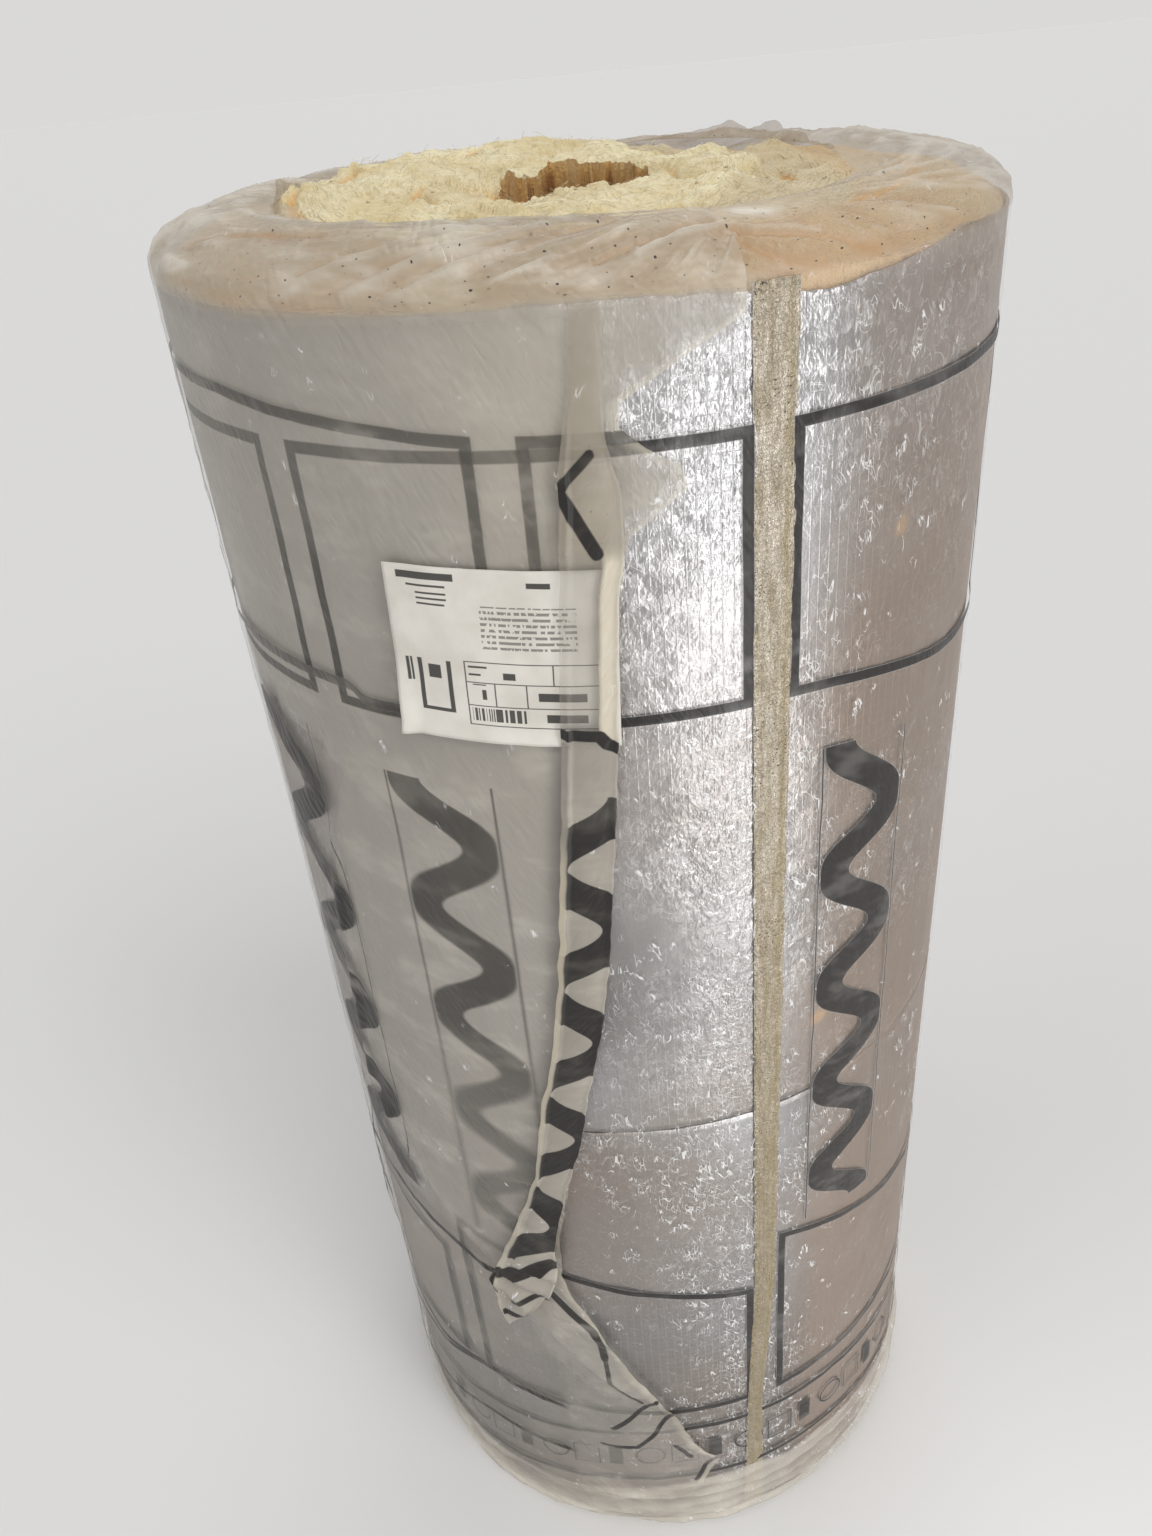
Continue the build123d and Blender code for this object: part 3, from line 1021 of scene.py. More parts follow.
def scatterTree():
    tree = bpy.data.node_groups.new("scatteredStrands", "GeometryNodeTree")
    put = tree.interface.new_socket
    put(name="Geometry", in_out="INPUT", socket_type="NodeSocketGeometry")
    for name in ("Density", "Length", "Thickness", "Rise"):
        put(name=name, in_out="INPUT", socket_type="NodeSocketFloat")
    put(name="Seed", in_out="INPUT", socket_type="NodeSocketInt")
    put(name="Material", in_out="INPUT", socket_type="NodeSocketMaterial")
    put(name="Geometry", in_out="OUTPUT", socket_type="NodeSocketGeometry")
    make = NodeWriter(tree)
    given, out = make.add("NodeGroupInput").outputs, make.add("NodeGroupOutput").inputs
    bare = make.add("GeometryNodeInputNamedAttribute", {"Name": "bare"}, data_type="FLOAT")
    density = make.times(given["Density"], bare.outputs["Attribute"])
    spots = make.add(
        "GeometryNodeDistributePointsOnFaces",
        {"Mesh": given["Geometry"], "Density": density, "Seed": given["Seed"]},
        distribute_method="RANDOM",
    ).outputs
    half, rise = make.times(given["Length"], 0.5), make.times(given["Length"], given["Rise"])
    middle = make.add("ShaderNodeCombineXYZ", {0: half, 2: rise})
    end = make.add("ShaderNodeCombineXYZ", {0: given["Length"], 1: make.times(given["Length"], 0.3)})
    strand = make.add(
        "GeometryNodeCurveQuadraticBezier",
        {"Resolution": 4, "Start": (0.0, 0.0, -0.0006), "Middle": middle.outputs[0], "End": end.outputs[0]},
    )
    outline = make.add("GeometryNodeCurvePrimitiveCircle", {"Resolution": 3, "Radius": given["Thickness"]})
    body = make.add(
        "GeometryNodeCurveToMesh",
        {"Curve": strand.outputs[0], "Profile Curve": outline.outputs[0], "Fill Caps": True},
    )
    leaning = {"Min": (-0.2, -0.2, 0.0), "Max": (0.2, 0.2, 6.2832), "Seed": given["Seed"]}
    turn = make.add("FunctionNodeRandomValue", leaning, data_type="FLOAT_VECTOR")
    spin = make.add("FunctionNodeEulerToRotation", {0: turn.outputs[0]})
    turns = {0: spots["Rotation"], 1: spin.outputs[0]}
    placed = make.add("FunctionNodeRotateRotation", turns, rotation_space="LOCAL")
    sizes = {"Min": 0.5, "Max": 1.4, "Seed": given["Seed"]}
    size = make.add("FunctionNodeRandomValue", sizes, data_type="FLOAT")
    copies = make.add(
        "GeometryNodeInstanceOnPoints",
        {
            "Points": spots["Points"],
            "Instance": body.outputs[0],
            "Rotation": placed.outputs[0],
            "Scale": size.outputs["Value"],
        },
    )
    real = make.add("GeometryNodeRealizeInstances", {0: copies.outputs[0]})
    finished = make.add(
        "GeometryNodeSetMaterial", {"Geometry": real.outputs[0], "Material": given["Material"]}
    )
    make.feed(out[0], finished.outputs[0])
    return tree


def scatterPiece(name, tree, base, material, slot):
    inputs = ("Density", "Length", "Thickness", "Rise", "Seed")
    values = dict(zip(inputs, scattered[name]), Material=material)
    holder = bpy.data.objects.new(name, base.data.copy())
    bpy.context.scene.collection.objects.link(holder)
    modifier = holder.modifiers.new("scatter", "NODES")
    modifier.node_group = tree
    for item in tree.interface.items_tree:
        if item.in_out == "INPUT" and item.name in values:
            modifier[item.identifier] = values[item.name]
    shaped = holder.evaluated_get(bpy.context.evaluated_depsgraph_get())
    mesh = bpy.data.meshes.new_from_object(shaped)
    mesh.name = name
    bpy.data.objects.remove(holder)
    mesh.materials.clear()
    return addPiece(mesh, material, slot)


# Foil facings

foil = {
    "columns": 448,
    "rows": 112,
    "thickness": 0.0030,
    "crumple": 0.0006,
    "streak": 0.0003,
    # the upper facing's top edge at the front: angle, how far it lies off the wall's top
    "topEdge": [
        (-60, 0.0), (-43.5, -0.0045), (-21, -0.0015), (-8.6, 0.0015), (4, 0.0), (14, -0.0035),
        (24, -0.0095), (31, -0.0065), (39, -0.0015), (46, 0.0045), (70, 0.0),
    ],
    "stains": [
        (37.4, 1.058, 0.008), (26.5, 0.685, 0.010), (35.9, 0.665, 0.006), (-96, 0.52, 0.012),
        (150, 0.86, 0.011), (118, 1.08, 0.008),
    ],
}


def foilPiece(name, node, material, seed):
    low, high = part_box(node)
    angle = np.arange(foil["columns"] + 1) * 360 / foil["columns"] - 180
    share = np.linspace(0, 1, foil["rows"])
    edge = 0.0016 * layeredNoise(wallPoint(angle, foilRadius, 0.0), 0.04, seed, 3)
    if high.z > wallTop - 0.01:
        edge = edge + readTable(foil["topEdge"], angle)
    heights = low.z + (high.z - low.z) * share[:, None] + edge[None, :] * (share[:, None] ** 8)
    outer = wallPoint(angle[None, :], foilRadius, heights)
    creases = ridges(outer, 0.030, seed + 5, 2.0) + 0.6 * ridges(outer, 0.014, seed + 6, 2.0)
    lively = ease(-0.2, 0.6, layeredNoise(outer, 0.16, seed + 7, 2))
    streaks = latticeNoise(stretched(outer, 1.0, 0.10), 0.009, seed + 8)
    inward = foil["crumple"] * (1 - creases * lively) + foil["streak"] * (0.5 + 0.5 * streaks)
    outer[..., :2] *= (1 - inward / foilRadius)[..., None]
    inner = wallPoint(angle[None, :], foilRadius - foil["thickness"], heights[[-1, 0]])
    points = np.concatenate([outer, inner], axis=0)
    rowHeights = np.concatenate([heights, heights[[-1, 0]], heights[:1]], axis=0)
    unrolled = places(angle / 360 + 0.5, rowHeights / film["unrolledLength"])
    turn, level = angle[None, :], points[..., 2]
    nearTape = near(turn, 10, 10)
    lively = layeredNoise(points, 0.12, seed + 9, 2)
    topBand = ease(1.07, 1.15, level) * near(turn, 15, 34)
    lower = ease(0.66, 0.50, level)
    crumpled = (
        (0.30 + 0.35 * lively) * (1 - 0.65 * lower) + (0.55 + 0.5 * lively) * nearTape * (1 - 0.35 * lower)
    )
    crumpled = crumpled + 0.6 * topBand + 0.5 * ease(1.02, 1.1, level) * near(turn, 4, 12)
    threads = 0.25 + 0.5 * layeredNoise(points, 0.2, seed + 10, 2)
    threads = threads + 0.5 * near(turn, 4, 14) * ease(1.02, 1.13, level) + 0.3 * nearTape
    uneven = 0.35 * layeredNoise(points, 0.01, seed + 11)
    stained = sum(
        ease(1.0, 0.5, np.hypot((turn - a) * film["metresPerDegree"], level - z) / size + uneven)
        for a, z, size in foil["stains"]
    )
    rightSide = ease(18, 34, turn) * ease(150, 100, turn)
    # dullness at random, with painted shade: darker lower down and lower on the right; and a painted
    # highlight: lighter beside the tape, where the light's reflection falls
    shadeSheenAndWear = 0.42 + 0.5 * layeredNoise(points, 0.14, seed + 12, 2) * (1 - 0.5 * lower)
    shadeSheenAndWear = shadeSheenAndWear + 0.20 * ease(0.95, 0.70, level) + 0.45 * ease(0.50, 0.10, level)
    shadeSheenAndWear = shadeSheenAndWear + 0.25 * rightSide * lower - 0.45 * nearTape * (1 - lower)
    # a warm tone at random and lower down, and a painted warm reflection along the right side
    warmToneAndReflection = 0.20 + 0.5 * layeredNoise(points, 0.25, seed + 13, 2) + 0.2 * lower + 0.85 * rightSide
    fields = {
        "crumpled": np.clip(crumpled, 0, 1.2),
        "threads": np.clip(threads, 0, 1),
        "shadeSheenAndWear": np.clip(shadeSheenAndWear, 0, 1),
        "warmToneAndReflection": np.clip(warmToneAndReflection, 0, 1),
        "stained": np.clip(0.75 * stained, 0, 1),
    }
    fields = {key: value[:, :-1] for key, value in fields.items()}
    mesh = gridMesh(name, points[:, :-1], roundClosed=True, endsClosed=True, unrolled=unrolled, fields=fields)
    return addPiece(mesh, material, "foil_facing", node)


# Film

sleeve = {
    "columns": 530,
    "crowding": 0.4,  # how much closer the columns lie at the front
    "footRows": 6,
    "cornerRows": 5,
    "lowRows": 30,  # of the wall's rows, those below the low part's top
    "lowTop": 0.115,
    "wallRows": 104,
    "shoulderRows": 64,
    "edgeRows": 5,
    "foot": 0.0004,  # how high it lies above the floor
    "footRun": 0.018,  # how far the print runs round the foot's corner
    "proudOverEnd": 0.0012,  # how far it stands outside the wool over the end
    "wrinkle": 0.0006,
    "pleat": 0.0034,
    "footFold": 0.0040,
    "sag": 0.028,  # how much lower the print hangs at the right side
    # how far the torn edge stands up: angle, height
    "standing": [
        (-180, 0.001), (-130, 0.001), (-112, 0.003), (-100, 0.010), (-90, 0.013), (-80, 0.008),
        (-72, 0.009), (-64, 0.003), (-52, 0.0), (60, 0.0), (85, 0.002), (105, 0.006), (125, 0.011),
        (140, 0.012), (152, 0.005), (165, 0.001), (180, 0.001),
    ],
    "edgeReach": 0.012,
    # the larger folds over the end: half the width, how far they stand out, how white (a painted highlight
    # for a ridge), how brown (a painted shade for a hollow), and where they run in plan
    "folds": [
        (0.0030, 0.0014, 0.40, 0.0, [
            (-0.1687, -0.2272), (-0.1520, -0.2307), (-0.1355, -0.2313), (-0.1138, -0.2317),
            (-0.0851, -0.2293), (-0.0541, -0.2247),
        ]),
        (0.0030, 0.0016, 0.50, 0.0, [
            (-0.1299, -0.2492), (-0.1058, -0.2525), (-0.0847, -0.2510), (-0.0594, -0.2481),
            (-0.0364, -0.2397), (-0.0079, -0.2289),
        ]),
        (0.0028, 0.0014, 0.40, 0.0, [
            (-0.1100, -0.2603), (-0.0919, -0.2632), (-0.0757, -0.2631), (-0.0599, -0.2617),
            (-0.0420, -0.2560),
        ]),
        (0.0020, 0.0020, 0.75, 0.0, [
            (0.0163, -0.2714), (0.0260, -0.2664), (0.0404, -0.2603), (0.0541, -0.2544), (0.0680, -0.2455),
        ]),
        (0.0018, 0.0016, 0.75, 0.0, [
            (0.0710, -0.2470), (0.0765, -0.2512), (0.0951, -0.2487), (0.1108, -0.2485),
        ]),
        (0.0030, -0.0022, 0.0, 0.40, [
            (-0.1800, -0.2190), (-0.1580, -0.2260), (-0.1330, -0.2270), (-0.1040, -0.2270),
            (-0.0640, -0.2200),
        ]),
        (0.0032, -0.0024, 0.0, 0.45, [
            (-0.1450, -0.2400), (-0.1180, -0.2455), (-0.0900, -0.2465), (-0.0600, -0.2420),
            (-0.0260, -0.2310),
        ]),
        (0.0032, -0.0024, 0.0, 0.45, [
            (-0.1210, -0.2560), (-0.0960, -0.2580), (-0.0720, -0.2570), (-0.0480, -0.2520),
            (-0.0200, -0.2410),
        ]),
        (0.0032, -0.0026, 0.0, 0.55, [
            (-0.0651, -0.2655), (-0.0529, -0.2626), (-0.0371, -0.2600), (-0.0181, -0.2511), (0.0011, -0.2418),
            (0.0162, -0.2296),
        ]),
        (0.0026, -0.0024, 0.0, 0.60, [
            (-0.0028, -0.2726), (0.0077, -0.2684), (0.0172, -0.2642), (0.0314, -0.2597), (0.0562, -0.2470),
        ]),
        (0.0024, -0.0018, 0.0, 0.45, [(-0.0195, -0.2681), (-0.0083, -0.2650), (0.0086, -0.2602)]),
        (0.0055, -0.0018, 0.0, 0.45, [(-0.0240, -0.2760), (-0.0100, -0.2750), (-0.0050, -0.2800)]),
        (0.0026, -0.0034, 0.0, 1.00, [
            (0.0700, -0.2600), (0.0737, -0.2640), (0.0881, -0.2665), (0.0998, -0.2645), (0.1125, -0.2600),
        ]),
        (0.0024, -0.0030, 0.0, 1.00, [
            (0.0700, -0.2520), (0.0758, -0.2547), (0.0996, -0.2520), (0.1176, -0.2496), (0.1323, -0.2470),
            (0.1434, -0.2430),
        ]),
        (0.0050, -0.0015, 0.0, 0.50, [(0.0691, -0.2461), (0.0608, -0.2539), (0.0547, -0.2610)]),
    ],
    "flap": [(0.0741, -0.2300), (0.0870, -0.2320)],  # a white scrap where they meet
    # a long gap between two folds, through which the wool shows
    "gap": [
        (-0.2290, -0.1330), (-0.2050, -0.1440), (-0.1680, -0.1735), (-0.1550, -0.1860), (-0.1340, -0.2005),
    ],
    "gapHalfWidth": 0.0042,
}
lap = {
    "columns": 330,
    # the heights between which its rows lie closer, and how many rows there are below, there and above
    "closeRows": (0.08, 0.46),
    "wallRows": (8, 120, 62),
    "shoulderRows": 60,
    "proud": 0.0016,
    "proudOverEnd": 0.0030,
    "overEndShare": 0.985,  # how far over the end it goes, as a share of the sleeve's way to the mouth
    "wave": 0.0045,
    "crease": 0.0011,
    "hazeFold": 0.0035,  # the long fold where the haze begins
    "slantFold": 0.0055,  # and the slanting ones below the gathered strip
    "footFlare": 0.006,
    # how much higher the print lies there than on the sleeve: angle, metres
    "printRise": [(-168, 0.012), (-90, 0.028), (-52, 0.026), (-36, 0.018), (-15, 0.008), (14, 0.006)],
    # how much the lap's haze hides where it is hazy: share, height
    "hides": [
        (0.16, 0.024), (0.18, 0.30), (0.34, 0.42), (0.40, 0.55), (0.28, 0.66), (0.13, 0.72), (0.12, 0.90),
        (0.14, 0.97), (0.14, 1.05), (0.26, 1.12), (0.36, 1.25),
    ],
    # folded lines of print on the torn tongue: half its width, then its angles and heights
    "marks": [
        (0.0038, [(-21.4, 0.396), (-17.1, 0.369), (-14.2, 0.353), (-13.0, 0.336), (-12.7, 0.313)]),
        (0.0022, [(-12.7, 0.313), (-12.0, 0.282), (-6.7, 0.243)]),
        (0.0028, [(-12.6, 0.199), (-8.4, 0.221), (-4.1, 0.247)]),
        (0.0026, [(-15.0, 0.168), (-8.2, 0.172), (-4.6, 0.193), (-1.4, 0.221)]),
        (0.0028, [(-1.1, 0.167), (1.8, 0.139)]),
        (0.0026, [(2.6, 0.092), (4.6, 0.121), (7.2, 0.137)]),
    ],
}


def mouthRadius(angle):
    ragged = 0.004 * layeredNoise(wallPoint(angle, 1.0, 0.0), 0.16, 7, 3)
    return woolRadius - roundRun(roll["mouthReach"], (angle - 90) / 360) / 1000 + ragged


def shoulderPoint(angle, part, proud):
    # over the shoulder and in to the torn mouth, as the part goes from 0 to 1, that far outside the wool
    reach = foilRadius - mouthRadius(angle)
    radius = foilRadius - reach * (1 - np.cos(part * math.pi / 2))
    inward = np.clip((radius - shoulderStart) / (foilRadius - shoulderStart), 0, 1)
    rise = woolTop - wallTop
    height = wallTop + rise * np.sqrt(np.clip(1 - inward ** 2, 0, 1))
    outX, outZ = inward / (foilRadius - shoulderStart), np.sqrt(np.clip(1 - inward ** 2, 0, 1)) / rise
    size = np.hypot(outX, outZ)
    return radius + proud * outX / size, height + proud * outZ / size


def lineDistance(first, second, line):
    # how far each point lies from a line through those points
    nearest = np.full(np.broadcast(first, second).shape, 1.0)
    for (fromFirst, fromSecond), (toFirst, toSecond) in zip(line, line[1:]):
        runFirst, runSecond = toFirst - fromFirst, toSecond - fromSecond
        share = (first - fromFirst) * runFirst + (second - fromSecond) * runSecond
        share = np.clip(share / (runFirst ** 2 + runSecond ** 2), 0, 1)
        awayFirst, awaySecond = first - fromFirst - share * runFirst, second - fromSecond - share * runSecond
        nearest = np.minimum(nearest, np.hypot(awayFirst, awaySecond))
    return nearest


def pleats(angle, part):
    # the film over the end: how far it stands out, how white and how brown it is painted, and how open its
    # gap is
    meetAngle, meetPart = roll["gather"]
    reach = foilRadius - mouthRadius(angle)
    radius = foilRadius - reach * (1 - np.cos(part * math.pi / 2))
    x, y = np.moveaxis(wallPoint(angle, radius, 0.0), -1, 0)[:2]
    away = np.abs(angle - meetAngle)
    distance = np.hypot(away * film["metresPerDegree"], 0.11 * (meetPart - part))
    bearing = np.degrees(np.arctan2(11.5 * np.clip(meetPart - part, 0, None), away))  # 90 is straight down
    side = np.where(angle < meetAngle, 0.0, 7.0)
    spot = places(0.5 * np.sqrt(bearing), side, 0.012 * away)
    meeting = ridges(spot, 0.44, 111, 1.3) + 0.5 * ridges(spot, 0.21, 112, 1.3) * ease(0.05, 0.12, distance)
    meeting = 0.75 * (meeting + 0.45 * ridges(spot, 0.10, 116, 1.2)) * ease(0.02, 0.09, distance)
    turned = np.radians(angle + 25 * part)
    spot = places(np.cos(turned), np.sin(turned), 0.35 * part)
    inwards = ridges(spot, 0.26, 113, 1.4) + 0.6 * ridges(spot, 0.12, 114, 1.4)
    inwards = inwards + 0.3 * ridges(spot, 0.05, 117, 1.2)
    share = ease(75, 100, away)
    onEnd = ease(0.0, 0.30, part) * ease(1.02, 0.85, part)
    folds = (meeting * (1 - share) + inwards * share) * onEnd
    outwards = sleeve["pleat"] * folds
    # painted highlight on the fold crests; whiter at the left
    white = 0.62 * ease(0.62, 1.15, folds) + 0.20 * near(angle, -66, 30)
    # painted shade in the hollows between the folds
    brown = 0.42 * ease(0.34, 0.0, folds) * onEnd
    settled = ease(1.0, 0.92, part) * ease(0.0, 0.22, part)
    # each listed fold: a ridge gets a painted highlight, a hollow a painted shade
    for halfWidth, height, whiteHere, brownHere, line in sleeve["folds"]:
        share = near(lineDistance(x, y, line), 0.0, halfWidth) * (settled if brownHere < 0.9 else 1.0)
        outwards = outwards + height * share * settled
        white = np.maximum(white * (1 - brownHere * share), whiteHere * share)
        brown = np.maximum(brown * (1 - whiteHere * share), brownHere * share)
    white = np.maximum(white, near(lineDistance(x, y, sleeve["flap"]), 0.0, 0.008))
    # the right front is warm where the wool lies close under the film
    warm = (
        near(angle, 27, 13) * ease(0.80, 0.45, part)
        * ease(-0.2, 0.3, latticeNoise(places(x, y, 0), 0.02, 115))
    )
    brown = np.maximum(brown, 0.30 * warm * (1 - white))
    offGap = lineDistance(x, y, sleeve["gap"]) + 0.004 * ease(-0.16, -0.134, x)
    opening = ease(sleeve["gapHalfWidth"], 0.5 * sleeve["gapHalfWidth"], offGap)
    white = np.clip(white, 0, 1) * (1 - opening)
    # painted shade in the gap, where the wool lies in shadow
    brown = np.clip(np.maximum(brown, 0.95 * opening), 0, 1)
    return outwards - 0.0025 * opening, white, brown, 0.35 * opening


def overEnd(angle, parts, share, proud):
    # where a film lies over the end, as far as that share of the way in, and its tones
    folds, *tones = pleats(angle, parts * share)
    radius, height = shoulderPoint(angle, parts * share, proud + folds)
    return radius, height - roll["mouthSink"] * ease(0.80, 1.0, parts), tones


def hazeShare(angle, height):
    # 0 where the lap is nearly clear, 1 where it is hazy
    edge = along(roll["hazeEdge"], height)
    return np.maximum(ease(edge - 1.0, edge + 0.8, angle), ease(0.93, 0.97, height))


def sleevePiece(material):
    share = np.arange(sleeve["columns"]) / sleeve["columns"]
    angle = 360 * share - 180 + np.degrees(sleeve["crowding"] * np.sin(2 * math.pi * share))
    wide = np.ones_like(angle)
    ring = wallPoint(angle, 1.0, 0.0)
    radii, heights, run = [], [], []
    start = woolRadius - roll["footMouth"]
    corner = sleeveRadius - roll["footReach"]
    foot = sleeve["foot"]
    for part in np.linspace(0, 1, sleeve["footRows"]):
        ragged = 0.006 * layeredNoise(ring, 0.3, 17, 2) * (1 - part) ** 2
        radii.append((start + (corner - start) * part) * wide + ragged)
        heights.append(foot * wide)
        run.append((start + (corner - start) * part) - corner - sleeve["footRun"])
    for part in np.linspace(0, 1, sleeve["cornerRows"] + 1)[1:]:
        radii.append((corner + roll["footReach"] * math.sin(part * math.pi / 2)) * wide)
        heights.append(foot + (wallFoot - foot) * (1 - math.cos(part * math.pi / 2)) * wide)
        run.append(-sleeve["footRun"] + sleeve["footRun"] * part + wallFoot * part)
    lowRows = np.linspace(wallFoot, sleeve["lowTop"], sleeve["lowRows"] + 1)[1:]
    highRows = np.linspace(sleeve["lowTop"], wallTop, sleeve["wallRows"] - sleeve["lowRows"] + 1)[1:]
    for level in [*lowRows, *highRows]:
        radii.append(sleeveRadius * wide)
        heights.append(level * wide)
        run.append(level)
    radii, heights, run = np.array(radii), np.array(heights), np.array(run)
    points = wallPoint(angle[None, :], radii, heights)
    wrinkles = layeredNoise(points, 0.05, 101) + 1.2 * ridges(points, 0.06, 102, 2.0) + 0.4
    wrinkles = sleeve["wrinkle"] * wrinkles
    footFolds = ridges(stretched(points, 0.20, 2.2), 0.045, 103, 1.2)
    footFolds = footFolds + 0.5 * ridges(stretched(points, 0.5, 2.0), 0.020, 104, 1.2)
    footLine = readTable(roll["footLine"], angle)[None, :]
    nearFoot = ease(footLine + 0.004, footLine - 0.010, heights)
    outwards = (
        np.clip(wrinkles, 0, None) + sleeve["footFold"] * footFolds * nearFoot * ease(0.0, 0.006, heights)
    )
    points[..., :2] *= (1 + outwards / np.maximum(radii, 0.1))[..., None]

    parts = np.linspace(0, 1, sleeve["shoulderRows"] + 1)[1:, None] * wide[None, :]
    radiusHere, heightHere, tones = overEnd(angle[None, :], parts, 1.0, sleeve["proudOverEnd"])
    over = wallPoint(angle[None, :], radiusHere, heightHere)
    # past the mouth the torn edge stands up in places, thin and wavy
    stand = readTable(sleeve["standing"], angle) * (1 + 0.6 * layeredNoise(ring, 0.22, 121, 3))
    edgeParts = np.linspace(0, 1, sleeve["edgeRows"] + 1)[1:, None]
    waver = 0.010 * latticeNoise(ring, 0.16, 122) * ease(0.0, 0.006, stand)
    edgeRadius = radiusHere[-1] - edgeParts * (0.004 + waver)
    edge = wallPoint(angle[None, :], edgeRadius, heightHere[-1] + (stand - 0.0006) * edgeParts)
    points = np.concatenate([points, over, edge], axis=0)
    mouthRun = wallTop + roll["overEndRun"]
    overRun = wallTop + roll["overEndRun"] * parts[:, 0]
    run = np.concatenate([run, overRun, mouthRun + sleeve["edgeReach"] * edgeParts[:, 0]])

    closedAngle = np.append(angle, 180.0)
    sag = sleeve["sag"] * ease(18, 60, closedAngle) * ease(175, 120, closedAngle)
    printRun = run[:, None] + sag[None, :] * ease(1.13, 0.98, run)[:, None] * ease(0.25, 0.5, run)[:, None]
    upright = (printRun + film["footRun"]) / film["unrolledLength"]
    unrolled = places((closedAngle / 360 + 0.5)[None, :], upright)
    height, turn = points[..., 2], np.broadcast_to(angle[None, :], points.shape[:2])
    over = ease(wallTop - 0.005, wallTop + 0.006, height)
    cloud = layeredNoise(points, 0.05, 131)
    onEdge = np.ones((sleeve["edgeRows"], 1))
    white, brown, opening = (np.vstack([0 * height[:len(radii)], tone, tone[-1:] * onEdge]) for tone in tones)
    footBand = (
        ease(footLine + 0.003, footLine - 0.005, height + 0.002 * cloud) * (1 - 0.45 * near(turn, 42, 22))
    )
    turnedUp = near(height, footLine, 0.003) * (height > 0.02)
    under = ease(lapEdge(height) + 1.0, lapEdge(height) - 3.0, turn) * (turn > roll["lapBack"])
    under = under * (height > roll["lapFoot"]) * (1 - over) * (0.25 + 0.75 * hazeShare(turn, height))
    overVeil = 0.46 + 0.28 * white + 0.35 * brown + 0.12 * cloud - 0.16 * near(turn, 32, 24)
    veil = 0.06 + 0.05 * np.clip(cloud, 0, 1) + over * overVeil
    veil = np.maximum(veil * (1 - 0.9 * opening), (0.55 + 0.23 * ease(0.25, 0.45, height)) * under)
    gathered = footFoldsOn(height, footFolds)
    veil = np.maximum(veil, (0.42 + 0.22 * gathered + 0.12 * cloud) * footBand + 0.35 * turnedUp)
    veil[-sleeve["edgeRows"]:] = 0.5
    nearTape = near(turn, 13, 13)
    glinting = 0.32 + 0.6 * layeredNoise(points, 0.11, 132, 2) + 0.7 * nearTape
    glinting = glinting + 0.6 * near(turn, 42, 20) * ease(0.13, 0.07, height)
    glinting = np.clip(glinting, 0, 1.2) * (1 - over) * (1 - 0.9 * under) * (1 - 0.6 * footBand)
    veiled = 0.25 * ease(0.95, 0.85, height) + 0.65 * ease(0.72, 0.55, height)
    fields = {
        "milky": over,
        "creamy": np.clip(0.6 * footBand + 0.4 * turnedUp * (1 - over), 0, 1),
        "hazed": np.clip(1.3 * under, 0, 1),
        # over the end the fold crests get a painted highlight and the hollows and the gap a painted shade;
        # the white scrap, the foot folds' whiter crests and the warm wool under the film are their own tints
        "highlightAndWhite": over * white + 0.35 * footBand * np.clip(gathered - 0.6, 0, 1),
        "shadeAndWarmBrown": over * brown,
        "veil": np.clip(veil, 0, 1),
        "kept": ease(0.012, 0.05, height),
        "veiled": under * (0.10 + ease(0.32, 0.45, height) * veiled),
        "glinting": glinting,
    }
    mesh = gridMesh("filmSleeve", points, roundClosed=True, unrolled=unrolled, fields=fields)
    piece = addPiece(mesh, material, "clear_film", "film_sleeve")
    piece.visible_shadow = False  # the film takes almost no light away from what lies under it
    return piece


def footFoldsOn(height, folds):
    # the foot's folds on the rows of the wall, none on those above it
    spread = np.zeros_like(height)
    spread[:folds.shape[0]] = folds
    return np.clip(spread, 0, 1.4)


def lapEdge(height):
    return along(roll["tear"], height)


